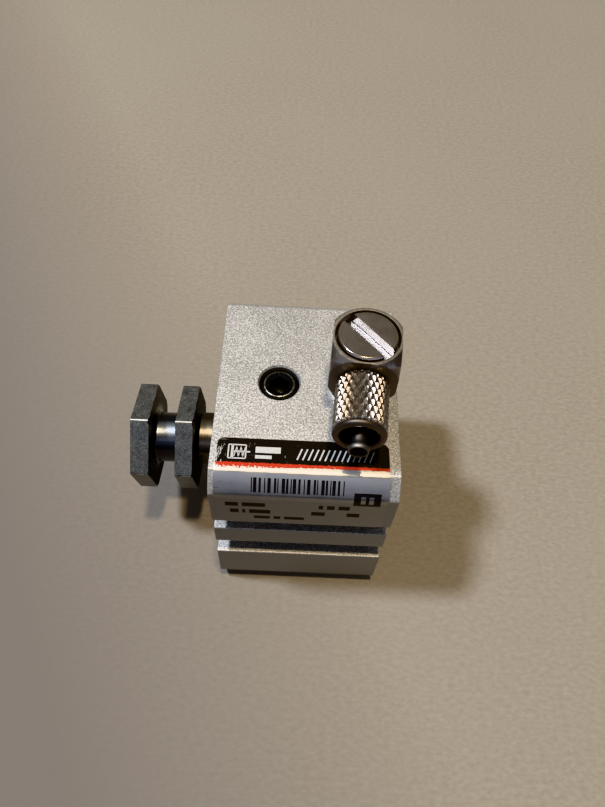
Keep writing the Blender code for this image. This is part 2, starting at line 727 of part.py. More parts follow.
def make_hollow_screw():
    """A slotted screw, bored from below and drilled across at the outlet's height."""
    bottom = HALF - PORT_DEPTH + 2 * FITTING_EDGE
    head_low = HALF + SCREW_HEAD_BOTTOM
    top = HALF + SCREW_TOP
    bore_top = HALF + OUTLET_HEIGHT + SCREW_BORE
    drill_point = SCREW_BORE / 2
    centre = Vector((SCREW_AXIS.x, 0, 0))
    points = [
        (bottom, SCREW_BORE),
        (bottom, SCREW_RADIUS - FITTING_EDGE),
        (bottom + FITTING_EDGE, SCREW_RADIUS),
        (head_low, SCREW_RADIUS),
        (head_low, SCREW_HEAD_RADIUS),
        (top - FITTING_EDGE, SCREW_HEAD_RADIUS),
        (top, SCREW_HEAD_RADIUS - FITTING_EDGE),
        (top, 0),
        (bore_top + drill_point, 0),
        (bore_top, SCREW_BORE),
    ]
    screw = new_object("hollow_screw", upright(points, COARSE, centre))
    width, depth = SCREW_SLOT
    along = Vector((math.cos(SCREW_SLOT_ANGLE), math.sin(SCREW_SLOT_ANGLE), 0))
    across = Z_DIR.cross(along)
    half = width / 2
    reach = SCREW_HEAD_RADIUS + OUTSIDE
    section = ((-half, top - depth), (half, top - depth), (half, top + OUTSIDE), (-half, top + OUTSIDE))
    rings = []
    for end in (-reach, reach):
        rings.append([centre + along * end + across * w + Z_DIR * z for w, z in section])
    cut(screw, cutter("cut_screw_slot", loft(rings)))
    cross = turned(
        [(-reach, 0), (-reach, SCREW_CROSS_HOLE), (reach, SCREW_CROSS_HOLE), (reach, 0)],
        SMALL,
        offset=centre + Z_DIR * (HALF + OUTLET_HEIGHT),
    )
    cut(screw, cutter("cut_screw_cross_hole", cross))
    paint(screw, "nickel_screw", (0.45, 0.41, 0.36), 0.28, 1.0)


def make_elbow(parent):
    """The elbow: a block with a round back, chamfered by turning about both its axes, open towards -Y."""
    half = ELBOW_WIDTH / 2
    turn = math.acos(half / ELBOW_BACK_RADIUS)
    outline = [(-half, -ELBOW_FRONT), (half, -ELBOW_FRONT)]
    outline += arc((0, 0), ELBOW_BACK_RADIUS, turn, math.pi - turn, 2 * CORNER_STEPS)
    block = loft([[Vector((x, y, z)) for x, y in outline] for z in (ELBOW_BOTTOM, ELBOW_TOP)])
    elbow = new_object("elbow_body", block, parent=parent)
    wide = ELBOW_WIDTH
    top_drop = (wide - ELBOW_TOP_RADIUS) * ELBOW_SLOPE
    envelope = upright(
        [
            (ELBOW_BOTTOM, 0),
            (ELBOW_BOTTOM, ELBOW_TOP_RADIUS),
            (ELBOW_BOTTOM + top_drop, wide),
            (ELBOW_TOP - top_drop, wide),
            (ELBOW_TOP, ELBOW_TOP_RADIUS),
            (ELBOW_TOP, 0),
        ],
        FINE,
    )
    cut(elbow, cutter("cut_elbow_turned_top", envelope, parent=parent), "INTERSECT")
    behind = -ELBOW_BACK_RADIUS - OUTSIDE
    front = outlet_turned(
        [
            (behind, 0),
            (behind, wide),
            (ELBOW_FRONT - top_drop, wide),
            (ELBOW_FRONT, ELBOW_TOP_RADIUS),
            (ELBOW_FRONT, 0),
        ],
        FINE,
        OUTLET_HEIGHT,
    )
    cut(elbow, cutter("cut_elbow_turned_front", front, parent=parent), "INTERSECT")
    hole = SCREW_RADIUS + RUN_GAP
    depth, chamber_half, chamber_end = ELBOW_CHAMBER
    chamber = hole + depth
    bore = upright(
        [
            (ELBOW_BOTTOM - OUTSIDE, 0),
            (ELBOW_BOTTOM - OUTSIDE, hole),
            (OUTLET_HEIGHT - chamber_end, hole),
            (OUTLET_HEIGHT - chamber_half, chamber),
            (OUTLET_HEIGHT + chamber_half, chamber),
            (OUTLET_HEIGHT + chamber_end, hole),
            (COUNTERBORE_FLOOR, hole),
            (COUNTERBORE_FLOOR, COUNTERBORE_RADIUS),
            (ELBOW_TOP + OUTSIDE, COUNTERBORE_RADIUS),
            (ELBOW_TOP + OUTSIDE, 0),
        ],
        COARSE,
    )
    cut(elbow, cutter("cut_elbow_bore", bore, parent=parent))
    ends = (SCREW_RADIUS / 2, ELBOW_FRONT + OUTSIDE)
    profile = [(ends[0], 0), (ends[0], OUTLET_RADIUS), (ends[1], OUTLET_RADIUS), (ends[1], 0)]
    outlet = outlet_turned(profile, COARSE, OUTLET_HEIGHT)
    cut(elbow, cutter("cut_elbow_outlet", outlet, parent=parent))
    paint(elbow, "nickel_elbow", (0.42, 0.38, 0.33), 0.3, 1.0)


def make_hose_barb(parent):
    """The barbed stem, pressed into the elbow, with a threaded shoulder for the nut."""
    shoulder = ELBOW_FRONT + GAP
    spigot_end, spigot = BARB_SPIGOT
    flare_x, flare = BARB_FLARE
    tip_x, tip = BARB_TIP
    points = [
        (spigot_end, BARB_BORE),
        (spigot_end, spigot),
        (shoulder, spigot),
        (shoulder, FITTING_THREAD_RADIUS),
        (BARB_THREAD_END, FITTING_THREAD_RADIUS),
        (BARB_THREAD_END + BARB_CONE, BARB_STEM_RADIUS + BARB_CONE),
        (BARB_STEM_START, BARB_STEM_RADIUS),
        (flare_x - BARB_CONE, BARB_STEM_RADIUS),
        (flare_x, flare),
        (tip_x, tip),
        (tip_x, BARB_MOUTH),
        (tip_x - BARB_CONE, BARB_BORE),
    ]
    barb = new_object("hose_barb", outlet_turned(points), Z_DIR * OUTLET_HEIGHT, parent)
    paint(barb, "nickel_barb", (0.42, 0.38, 0.33), 0.3, 1.0)


def make_knurled_nut(parent):
    """The nut that clamps the tube on the barb: threaded behind, open in front, knurled outside."""
    back, front = NUT_X
    thread = FITTING_THREAD_RADIUS + RUN_GAP
    points = [
        (back, thread),
        (back, NUT_RADIUS - FITTING_EDGE),
        (back + FITTING_EDGE, NUT_RADIUS),
        (NUT_KNURL_END, NUT_RADIUS),
        (NUT_KNURL_END, NUT_LIP_RADIUS),
        (front - 2 * FITTING_EDGE, NUT_LIP_RADIUS),
        (front, NUT_LIP_RADIUS - FITTING_EDGE),
        (front, NUT_MOUTH_RADIUS),
        (NUT_THREAD_END + FITTING_EDGE, NUT_MOUTH_RADIUS),
        (NUT_THREAD_END, thread),
    ]
    nut = new_object("knurled_nut", outlet_turned(points), Z_DIR * OUTLET_HEIGHT, parent)
    paint(nut, "nickel_nut", (0.45, 0.41, 0.36), 0.25, 1.0)


# ------------------------------------------------------------------------------------------------------ build


def clear_scene():
    for obj in list(bpy.data.objects):
        bpy.data.objects.remove(obj, do_unlink=True)


def main():
    clear_scene()
    make_body()
    make_nameplate()
    make_collar()
    make_tube_gasket()
    make_rod_seal()
    make_retaining_ring()
    make_spring()
    rod_axis = empty("rod_axis", (0, 0, 0))
    make_piston(rod_axis)
    make_piston_seal(rod_axis)
    make_piston_rod(rod_axis)
    make_rod_coupling(rod_axis)
    make_orifice_plug()
    make_washers()
    make_hollow_screw()
    elbow_axis = empty("elbow_axis", SCREW_AXIS, ELBOW_YAW)
    make_elbow(elbow_axis)
    make_hose_barb(elbow_axis)
    make_knurled_nut(elbow_axis)


main()
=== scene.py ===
"""The finished look of a compact spring-return air cylinder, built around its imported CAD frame.

Everything is in metres in the frame's own axes: the rod points along -X, the ports face +Z, and the
nameplate bends over the corner above the -Y flank. Each visible piece replaces the plain CAD node that
it names.
"""

import json
import math
from typing import NamedTuple

import bmesh
import bpy
from mathutils import Matrix, Vector


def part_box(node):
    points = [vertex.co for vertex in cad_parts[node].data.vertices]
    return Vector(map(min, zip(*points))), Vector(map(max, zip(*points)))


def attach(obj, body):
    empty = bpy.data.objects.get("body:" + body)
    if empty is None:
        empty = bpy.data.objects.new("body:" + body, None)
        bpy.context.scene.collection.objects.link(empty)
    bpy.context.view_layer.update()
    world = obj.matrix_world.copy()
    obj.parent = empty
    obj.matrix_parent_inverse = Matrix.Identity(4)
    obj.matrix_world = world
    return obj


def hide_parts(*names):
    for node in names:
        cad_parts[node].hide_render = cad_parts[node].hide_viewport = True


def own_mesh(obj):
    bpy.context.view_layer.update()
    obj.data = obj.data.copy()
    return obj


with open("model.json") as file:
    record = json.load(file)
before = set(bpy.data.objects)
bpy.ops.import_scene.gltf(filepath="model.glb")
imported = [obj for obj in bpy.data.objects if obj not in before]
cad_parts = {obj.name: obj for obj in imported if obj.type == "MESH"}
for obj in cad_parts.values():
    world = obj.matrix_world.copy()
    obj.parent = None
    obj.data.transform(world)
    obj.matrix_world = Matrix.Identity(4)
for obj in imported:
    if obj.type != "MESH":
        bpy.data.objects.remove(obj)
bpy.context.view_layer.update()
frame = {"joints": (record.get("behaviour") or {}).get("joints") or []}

MM = 0.001
X_DIR = Vector((1, 0, 0))
Y_DIR = Vector((0, 1, 0))
Z_DIR = Vector((0, 0, 1))
TURN = 2 * math.pi
QUARTER = math.pi / 2

# -------------------- places, read from the frame

BODY_LOW, BODY_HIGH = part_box("cylinder_body")
ROD_END_X = BODY_LOW.x
TOP_Z = BODY_HIGH.z
FLOOR_Z = BODY_LOW.z
HALF = (BODY_HIGH.z - BODY_LOW.z) / 2
JOINTS = {joint["name"]: joint for joint in frame["joints"]}
SCREW_AT = Vector(JOINTS["elbow_swivel"]["pos_m"])
OUTLET_AT = Vector(JOINTS["nut_turn"]["pos_m"])
OUTLET_DIR = Vector(JOINTS["nut_turn"]["axis"]).normalized()


class Axis(NamedTuple):
    """A line to turn about: a point on it, its direction, and where angle 0 and a quarter turn point."""

    at: Vector
    along: Vector
    side: Vector
    up: Vector

    def point(self, distance, radius, angle):
        outward = math.cos(angle) * self.side + math.sin(angle) * self.up
        return self.at + self.along * distance + outward * radius

    def moved(self, shift):
        return self._replace(at=self.at + shift)


ROD_AXIS = Axis(Vector((ROD_END_X, 0, 0)), X_DIR, Y_DIR, Z_DIR)
HEAD_AXIS = Axis(Vector((BODY_HIGH.x, 0, 0)), -X_DIR, Y_DIR, Z_DIR)
SCREW_AXIS = Axis(Vector((SCREW_AT.x, SCREW_AT.y, TOP_Z)), Z_DIR, X_DIR, Y_DIR)
OUTLET_SIDE = OUTLET_DIR.cross(Z_DIR).normalized()
OUTLET_AXIS = Axis(OUTLET_AT, OUTLET_DIR, OUTLET_SIDE, Z_DIR)
OUTLET_HEIGHT = OUTLET_AT.z - TOP_Z
PLUG_LOW, PLUG_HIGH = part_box("orifice_plug")
PLUG_AXIS = Axis(Vector(((PLUG_LOW.x + PLUG_HIGH.x) / 2, 0, TOP_Z)), Z_DIR, X_DIR, Y_DIR)

# -------------------- mesh helpers

DOUBLE = 0.0004 * MM
SLIVER = 0.002 * MM
TINY = 1e-9


def mm(*points):
    """A profile or an outline given in millimetres, in metres."""
    return [(a * MM, b * MM) for a, b in points]


def placed(name, bm):
    """A new object in the scene. It uses up the bmesh."""
    mesh = bpy.data.meshes.new(name)
    bm.to_mesh(mesh)
    bm.free()
    obj = bpy.data.objects.new(name, mesh)
    bpy.context.scene.collection.objects.link(obj)
    return obj


def solid(name, bm):
    """A new object from a closed bmesh, with its doubles merged and its faces turned outwards."""
    bmesh.ops.remove_doubles(bm, verts=bm.verts, dist=DOUBLE)
    bmesh.ops.recalc_face_normals(bm, faces=bm.faces)
    return placed(name, bm)


def finished(name, bm, body, material, node=None, crease=32, weighted=True):
    """A smooth piece with edges sharper than the crease, on a body, standing for a CAD node."""
    obj = solid(name, bm)
    obj.data.shade_smooth()
    obj.data.set_sharp_from_angle(angle=math.radians(crease))
    if weighted:
        obj.modifiers.new("even_normals", "WEIGHTED_NORMAL").keep_sharp = True
    obj.data.materials.append(material)
    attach(obj, body)
    if node:
        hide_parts(node)
    return obj


def carved(bm, cuts, within=()):
    """The part of a solid that is inside every shape in within, less every cut."""
    obj = solid("carved", bm)
    tools = []
    for operation, shapes in (("INTERSECT", within), ("DIFFERENCE", cuts)):
        for shape in shapes:
            tools.append(solid("tool", shape))
            modifier = obj.modifiers.new("cut", "BOOLEAN")
            modifier.operation = operation
            modifier.solver = "EXACT"
            modifier.object = tools[-1]
    evaluated = obj.evaluated_get(bpy.context.evaluated_depsgraph_get())
    result = bmesh.new()
    result.from_mesh(evaluated.to_mesh())
    evaluated.to_mesh_clear()
    for item in [obj, *tools]:
        bpy.data.objects.remove(item, do_unlink=True)
    return result


def bevelled(bm, width, segments, angle):
    """Rounds every edge sharper than the angle, by a small width."""
    bmesh.ops.remove_doubles(bm, verts=bm.verts, dist=SLIVER)
    bmesh.ops.dissolve_degenerate(bm, edges=bm.edges, dist=SLIVER)
    limit = math.radians(angle)
    edges = [e for e in bm.edges if len(e.link_faces) == 2 and e.calc_face_angle(0) > limit]
    bmesh.ops.bevel(
        bm, geom=edges, offset=width, segments=segments, profile=0.5, affect="EDGES", clamp_overlap=True
    )
    return bm


def painted(bm, layer, value):
    """Gives each point a value by its place, in a layer that the material reads."""
    key = bm.verts.layers.float.new(layer)
    for vert in bm.verts:
        vert[key] = value(vert.co)


def softened(points, radius, steps=3, closed=True):
    """An outline with its corners rounded, apart from those on the axis and an open line's ends."""
    side_share = 0.42
    least_turn = 0.12
    result = []
    count = len(points)
    for i, (a, b) in enumerate(points):
        here = Vector((a, b))
        back = Vector(points[i - 1]) - here
        on = Vector(points[(i + 1) % count]) - here
        end = not closed and i in (0, count - 1)
        if b == 0 or end or min(back.length, on.length) < TINY or back.angle(-on) < least_turn:
            result.append((a, b))
            continue
        first = here + back.normalized() * min(radius, side_share * back.length)
        last = here + on.normalized() * min(radius, side_share * on.length)
        for t in spaced(0, 1, steps):
            p = (1 - t) ** 2 * first + 2 * t * (1 - t) * here + t * t * last
            result.append((p.x, p.y))
    return result


def spaced(start, end, count):
    return [start + (end - start) * k / count for k in range(count + 1)]


def turned(axis, profile, segments=96, shape=None, start=0.0, marks=None, layer="wear"):
    """A turned solid from a closed profile of (distance, radius).

    shape(distance, radius, angle) may change the radius, and marks(distance, radius, angle) gives each point
    a value in a layer that the material reads: wear on some pieces, painted shade on others.
    """
    bm = bmesh.new()
    wear = bm.verts.layers.float.new(layer) if marks else None
    rings = []
    for distance, radius in profile:
        if radius == 0:
            rings.append([bm.verts.new(axis.point(distance, 0, 0))] * segments)
            continue
        ring = []
        for k in range(segments):
            angle = start + TURN * k / segments
            here = shape(distance, radius, angle) if shape else radius
            vert = bm.verts.new(axis.point(distance, here, angle))
            if marks:
                vert[wear] = marks(distance, here, angle)
            ring.append(vert)
        rings.append(ring)
    for low, high in zip(rings, rings[1:] + rings[:1]):
        for k in range(segments):
            j = (k + 1) % segments
            corners = []
            for vert in (low[k], low[j], high[j], high[k]):
                if vert not in corners:
                    corners.append(vert)
            if len(corners) > 2:
                bm.faces.new(corners)
    return bm


def lofted(rings, bm=None):
    """A solid from rings of equally many points, capped at both ends, in a new bmesh or a given one."""
    if bm is None:
        bm = bmesh.new()
    rows = [[bm.verts.new(point) for point in ring] for ring in rings]
    for low, high in zip(rows, rows[1:]):
        for i in range(len(low)):
            j = (i + 1) % len(low)
            bm.faces.new((low[i], low[j], high[j], high[i]))
    bm.faces.new(list(reversed(rows[0])))
    bm.faces.new(rows[-1])
    return bm


def merged(parts):
    whole = bmesh.new()
    for part in parts:
        mesh = bpy.data.meshes.new("merged")
        part.to_mesh(mesh)
        part.free()
        whole.from_mesh(mesh)
        bpy.data.meshes.remove(mesh)
    return whole


def extruded(outline, stations):
    """A solid along X from an outline in Y and Z, with stations of (x, inset)."""
    sections = [(x, shrunk(outline, inset) if inset else outline) for x, inset in stations]
    return lofted([[Vector((x, y, z)) for y, z in section] for x, section in sections])


def drill(axis, low, high, radius, segments, start=0.0):
    """A plain cylinder to cut with, given in millimetres along its axis."""
    return turned(axis, mm((low, 0), (low, radius), (high, radius), (high, 0)), segments, start=start)


def around(radius, angles):
    return [(radius * math.cos(angle), radius * math.sin(angle)) for angle in angles]


def arc(radius, start, end, steps):
    return around(radius, spaced(start, end, steps))


def shrunk(points, inset):
    """A closed outline moved inwards by a small distance."""
    least_share = 0.3
    result = []
    count = len(points)
    for i in range(count):
        here = Vector(points[i])
        first = (here - Vector(points[i - 1])).normalized()
        second = (Vector(points[(i + 1) % count]) - here).normalized()
        normal = Vector((-first.y - second.y, first.x + second.x)).normalized()
        share = max(least_share, normal.dot(Vector((-first.y, first.x))))
        moved = here + normal * inset / share
        result.append((moved.x, moved.y))
    return result


# -------------------- material helpers

# Directions of the painted sheens: a surface is drawn darker the more it faces away from one.
PAINTED_SHEEN_DIR = Vector((0, -0.28, 0.96)).normalized()
PAINTED_STEM_SHEEN_DIR = Vector((-0.10, 0, 0.99)).normalized()


class Finish:
    """A Principled material. Its helpers add nodes and hand back their output sockets."""

    def __init__(self, name, **values):
        self.material = bpy.data.materials.new(name)
        self.material.use_nodes = True
        self.tree = self.material.node_tree
        self.shader = self.tree.nodes["Principled BSDF"]
        self.set(**values)

    def plug(self, value, socket):
        """Links a socket to another's output, or gives it a constant."""
        if isinstance(value, bpy.types.NodeSocket):
            self.tree.links.new(value, socket)
        else:
            colour = isinstance(value, tuple) and socket.type == "RGBA"
            socket.default_value = (*value, 1) if colour else value

    def set(self, **values):
        for key, value in values.items():
            self.plug(value, self.shader.inputs[key.replace("_", " ")])

    def done(self, tone, rough, normal, **values):
        self.set(Base_Color=tone, Roughness=rough, Normal=normal, **values)
        return self.material

    def node(self, kind, settings=None, **inputs):
        made = self.tree.nodes.new("ShaderNode" + kind)
        for key, value in (settings or {}).items():
            setattr(made, key, value)
        for key, value in inputs.items():
            numbered = key[0] == "i" and key[1:].isdigit()
            self.plug(value, made.inputs[int(key[1:]) if numbered else key.replace("_", " ")])
        return made

    def grain(self, per_mm, detail=2.0, rough=0.5, stretch=(1, 1, 1), twist=0.0):
        """Noise with this many cells in a millimetre, from 0 to 1, squeezed along each axis by stretch."""
        scale = tuple(s / MM for s in stretch)
        where = self.node("Mapping", Vector=self.spot(), Scale=scale).outputs["Vector"]
        shape = {"Detail": detail, "Roughness": rough, "Distortion": twist}
        return self.node("TexNoise", Vector=where, Scale=per_mm, **shape).outputs["Fac"]

    def span(self, value, low, high, to_low=0.0, to_high=1.0):
        """Maps a value from one range to another, held at both ends."""
        made = self.node("MapRange", Value=value, From_Min=low, From_Max=high, To_Min=to_low, To_Max=to_high)
        return made.outputs["Result"]

    def mix(self, share, first, second):
        """A blend of two colours."""
        return self.node("Mix", {"data_type": "RGBA"}, i0=share, i6=first, i7=second).outputs[2]

    def math(self, operation, first, second):
        return self.node("Math", {"operation": operation}, i0=first, i1=second).outputs[0]

    def plus(self, first, second):
        return self.math("ADD", first, second)

    def times(self, product, *factors):
        for factor in factors:
            product = self.math("MULTIPLY", product, factor)
        return product

    def vector(self, operation, first, second=(0, 0, 0)):
        """Vector arithmetic. A dot product or a length gives a number."""
        made = self.node("VectorMath", {"operation": operation}, i0=first, i1=second)
        return made.outputs["Value" if operation in ("DOT_PRODUCT", "LENGTH") else "Vector"]

    def spot(self):
        """Position in the frame, in metres."""
        return self.node("TexCoord").outputs["Object"]

    def parts(self, vector):
        return self.node("SeparateXYZ", Vector=vector).outputs

    def facing(self, direction):
        """How nearly the surface faces a direction, as a cosine."""
        return self.vector("DOT_PRODUCT", self.node("NewGeometry").outputs["True Normal"], direction)

    def attribute(self, name):
        return self.node("Attribute", {"attribute_name": name}).outputs["Fac"]

    def bump(self, height, strength, depth_mm, normal=None):
        inputs = {"Height": height, "Strength": strength, "Distance": depth_mm * MM}
        if normal:
            inputs["Normal"] = normal
        return self.node("Bump", **inputs).outputs["Normal"]


def anodised_finish():
    """Clear-anodised, bead-blasted aluminium: a satin grey with a very fine sparkle and a few dark pits.

    Faces that turn away from the top are darkened, a painted shade.
    """
    f = Finish("bead_blasted_aluminium", Metallic=0.62)
    fine = f.grain(5.6, 1.0, 0.5)
    coarse = f.grain(3.4, 2.0, 0.6)
    cloud = f.grain(0.12, 3.0, 0.6)
    pits = f.grain(1.05, 2.0, 0.5)
    lines = f.grain(3.0, 2.0, 0.5, (0.03, 1, 1))
    level = f.span(f.facing(Z_DIR), 0.1, 0.8)
    near_top = f.span(f.parts(f.spot())["Z"], TOP_Z - 1.0 * MM, TOP_Z - 0.2 * MM, 0.25, 1.0)
    blasted = f.math("MAXIMUM", near_top, f.times(level, 0.9))
    tone = f.mix(f.span(cloud, 0.35, 0.65), (0.47, 0.475, 0.48), (0.53, 0.535, 0.54))
    tone = f.mix(f.times(f.span(fine, 0.52, 0.68, 0.0, 0.70), blasted), tone, (0.92, 0.92, 0.91))
    tone = f.mix(f.times(f.span(fine, 0.48, 0.32, 0.0, 0.62), blasted), tone, (0.18, 0.18, 0.18))
    tone = f.mix(f.span(pits, 0.235, 0.215, 0.0, 0.8), tone, (0.06, 0.058, 0.055))
    # Painted shade: the sides and undersides get a darker tone than the top.
    painted_side_shade = f.mix(0.74, tone, (0.21, 0.205, 0.19))
    relief = f.plus(fine, f.times(coarse, 0.6))
    depth = f.span(blasted, 0.25, 1.0, 0.12, 0.6)
    return f.done(
        f.mix(level, painted_side_shade, tone),
        f.span(f.plus(fine, cloud), 0.7, 1.3, 0.42, 0.54),
        f.bump(relief, depth, 0.04, f.bump(lines, 0.10, 0.01)),
    )


def machined_finish(name, light, dark, rough, axis_scale):
    """Turned metal: fine rings that follow the cut, with slight colour and gloss variation."""
    f = Finish(name, Metallic=1.0)
    rings = f.grain(14.0, 2.0, 0.6, axis_scale)
    cloud = f.grain(0.5, 3.0, 0.6)
    return f.done(
        f.mix(f.span(cloud, 0.3, 0.7), dark, light),
        f.span(rings, 0.3, 0.7, rough - 0.06, rough + 0.08),
        f.bump(rings, 0.2, 0.006),
    )


def nickel_finish(name, gloss, dark, light, turned_about=None, worn_above=None, painted_sheen_dir=None):
    """Nickel over brass, warm and a little tarnished, with fine scratches and a layer of painted shade.

    A turned piece has tool marks about its axis, and a sawn slot is paler. A worn rim starts at a height.
    A painted sheen leaves the piece darker where it faces away from a direction.
    """
    f = Finish(name, Metallic=1.0)
    cloud = f.grain(0.35, 4.0, 0.6, twist=0.4)
    specks = f.grain(4.0, 3.0, 0.65)
    scratches = f.grain(2.2, 2.0, 0.5, (0.15, 2.6, 1.4))
    painted_shade = f.attribute("painted_shade")
    tone = f.mix(f.span(cloud, 0.3, 0.72), dark, light)
    tone = f.mix(f.span(specks, 0.68, 0.8, 0.0, 0.5), tone, (0.22, 0.18, 0.13))
    # Painted shade: the shade layer darkens the nickel nearly to black.
    tone = f.mix(painted_shade, tone, (0.035, 0.030, 0.026))
    # Painted highlight: the piece keeps its tone facing the sheen direction and darkens as it turns away.
    if painted_sheen_dir is not None:
        tone = f.mix(f.span(f.facing(painted_sheen_dir), 0.66, 0.95, 0.5, 0.0), tone, (0.10, 0.095, 0.09))
    if worn_above is not None:
        rim = f.span(f.parts(f.spot())["Z"], worn_above, worn_above + 0.03 * MM)
        tone = f.mix(f.times(rim, f.span(specks, 0.4, 0.6, 0.25, 0.75)), tone, (0.74, 0.69, 0.61))
    rough = f.plus(f.span(cloud, 0.3, 0.7, *gloss), f.times(painted_shade, 0.25))
    normal = f.bump(scratches, 0.025, 0.003)
    if turned_about is not None:
        offset = f.vector("SUBTRACT", f.spot(), turned_about.at)
        radius = f.vector("LENGTH", f.vector("CROSS_PRODUCT", offset, turned_about.along))
        noise = f.node("TexNoise", {"noise_dimensions": "1D"}, W=radius, Scale=4200.0, Detail=2.0)
        ring = noise.outputs["Fac"]
        tone = f.mix(f.span(ring, 0.58, 0.74, 0.0, 0.4), tone, (0.70, 0.64, 0.57))
        tone = f.mix(f.span(ring, 0.42, 0.28, 0.0, 0.4), tone, (0.24, 0.20, 0.17))
        sawn = f.attribute("sawn")
        cut_tone = f.mix(f.span(specks, 0.42, 0.62), (0.50, 0.475, 0.48), (0.66, 0.635, 0.63))
        tone = f.mix(sawn, tone, cut_tone)
        rough = f.plus(rough, f.times(sawn, 0.05))
        normal = f.bump(ring, f.span(sawn, 0.0, 1.0, 0.06, 0.0), 0.005, normal)
    return f.done(tone, rough, normal)


def blackened_finish():
    """Oil-blackened steel: speckled grey with a faint green cast, darker turned faces, bright worn edges.

    The polished neck gets a painted highlight where it faces the sheen direction, and is dark elsewhere.
    """
    f = Finish("blackened_steel", Metallic=0.9)
    mottle = f.grain(0.9, 5.0, 0.65, twist=0.6)
    fine = f.grain(4.5, 3.0, 0.7)
    stain = f.grain(0.28, 3.0, 0.6)
    both = f.plus(mottle, fine)
    polish_and_painted_sheen = f.attribute("polish_and_painted_sheen")
    edge = f.times(f.attribute("wear"), f.span(mottle, 0.25, 0.6, 0.35, 1.25))
    # Painted highlight on the neck: light where the surface faces the sheen direction, dark where it turns
    # away.
    painted_neck_sheen = f.mix(f.span(f.facing(PAINTED_SHEEN_DIR), 0.90, 0.995), (0.075, 0.08, 0.09), (0.44, 0.50, 0.60))
    tone = f.mix(f.span(mottle, 0.32, 0.68), (0.165, 0.175, 0.180), (0.255, 0.268, 0.272))
    tone = f.mix(f.span(stain, 0.52, 0.75, 0.0, 0.3), tone, (0.19, 0.17, 0.145))
    tone = f.mix(f.span(fine, 0.52, 0.72, 0.0, 0.6), tone, (0.44, 0.46, 0.45))
    tone = f.mix(f.span(fine, 0.48, 0.32, 0.0, 0.6), tone, (0.07, 0.075, 0.073))
    tone = f.mix(f.attribute("turned_face"), tone, (0.026, 0.026, 0.026))
    tone = f.mix(f.span(edge, 0.5, 0.9), tone, (0.56, 0.56, 0.55))
    rough = f.span(both, 0.75, 1.25, 0.38, 0.52)
    return f.done(
        f.mix(polish_and_painted_sheen, tone, painted_neck_sheen),
        f.node("Mix", {"data_type": "FLOAT"}, i0=polish_and_painted_sheen, i2=rough, i3=0.23).outputs[0],
        f.bump(both, 0.3, 0.02),
    )


def socket_finish():
    """Black oxide on the small plug: darker and glossier, with bright rims, and painted shade deep in the
    socket.
    """
    f = Finish("black_oxide", Metallic=0.85)
    mottle = f.grain(2.5, 4.0, 0.6)
    edge = f.span(f.times(f.attribute("wear"), f.span(mottle, 0.35, 0.65, 0.5, 1.1)), 0.4, 0.95)
    # Painted shade: the socket darkens to black from 0.9 mm to 1.9 mm below the top.
    painted_socket_shade = f.span(f.parts(f.spot())["Z"], TOP_Z - 1.9 * MM, TOP_Z - 0.9 * MM, 0.92, 0.0)
    tone = f.mix(f.span(mottle, 0.3, 0.7), (0.022, 0.023, 0.024), (0.055, 0.055, 0.053))
    return f.done(
        f.mix(edge, f.mix(painted_socket_shade, tone, (0.003, 0.003, 0.003)), (0.34, 0.33, 0.31)),
        f.span(mottle, 0.3, 0.7, 0.26, 0.40),
        f.bump(mottle, 0.15, 0.008),
    )


def plain_finish(name, grain, spread, low, high, rough, relief, **values):
    """A finish in which one fine grain gives the tone, the gloss and the relief."""
    f = Finish(name, **values)
    fine = f.grain(*grain)
    return f.done(
        f.mix(f.span(fine, *spread), low, high),
        f.span(fine, 0.3, 0.7, *rough),
        f.bump(fine, *relief),
    )


def rubber_finish():
    dark, light = (0.012, 0.012, 0.013), (0.035, 0.034, 0.033)
    grain, spread = (5.0, 4.0, 0.6), (0.3, 0.75)
    return plain_finish("nitrile_rubber", grain, spread, dark, light, (0.42, 0.62), (0.2, 0.01), Metallic=0.0)


def wire_finish():
    dark, light = (0.28, 0.25, 0.21), (0.46, 0.43, 0.38)
    grain, spread = (5.0, 3.0, 0.6), (0.3, 0.7)
    return plain_finish("spring_wire", grain, spread, dark, light, (0.24, 0.42), (0.12, 0.006), Metallic=1.0)


def phosphate_finish():
    name, dark, light = "phosphated_spring_steel", (0.035, 0.035, 0.036), (0.095, 0.093, 0.088)
    grain, spread = (4.0, 4.0, 0.6), (0.3, 0.7)
    return plain_finish(name, grain, spread, dark, light, (0.38, 0.55), (0.15, 0.008), Metallic=0.7)


def ink_finish(name, low, high, rough):
    gloss, values = (rough - 0.05, rough + 0.1), {"Metallic": 0.0, "Specular_IOR_Level": 0.22}
    return plain_finish(name, (4.0, 3.0, 0.65), (0.35, 0.7), low, high, gloss, (0.1, 0.004), **values)


def rod_finish():
    """Hard-chromed rod: mirror-bright, with very fine rings and a warm cast.

    A painted highlight: the rod is darkened wherever it faces away from the sheen direction.
    """
    f = Finish("polished_rod", Metallic=1.0)
    rings = f.grain(16.0, 2.0, 0.6, (1, 0.05, 0.05))
    tone = f.mix(f.span(f.grain(0.6, 3.0, 0.6), 0.3, 0.7), (0.36, 0.33, 0.28), (0.48, 0.44, 0.38))
    return f.done(
        # Painted highlight: a dark tone except where the rod faces the sheen direction.
        f.mix(f.span(f.facing(PAINTED_SHEEN_DIR), 0.88, 0.995, 0.85, 0.0), tone, (0.07, 0.06, 0.05)),
        f.span(rings, 0.3, 0.7, 0.19, 0.25),
        f.bump(rings, 0.10, 0.004),
    )


# -------------------- the cylinder

CORNER_RADIUS = 19.0 * MM
CORNER_FLAT = math.sqrt(CORNER_RADIUS**2 - HALF**2)
CORNER_TURN = math.atan2(CORNER_FLAT, HALF)
RIB_HALF = 2.05 * MM
RIB_RECESS = 0.3 * MM
SLOT_WIDTH = 3.0 * MM
SLOT_DEPTH = 2.5 * MM
BOLT_OFFSET = 10.0 * MM
BODY_LENGTH = BODY_HIGH.x - BODY_LOW.x


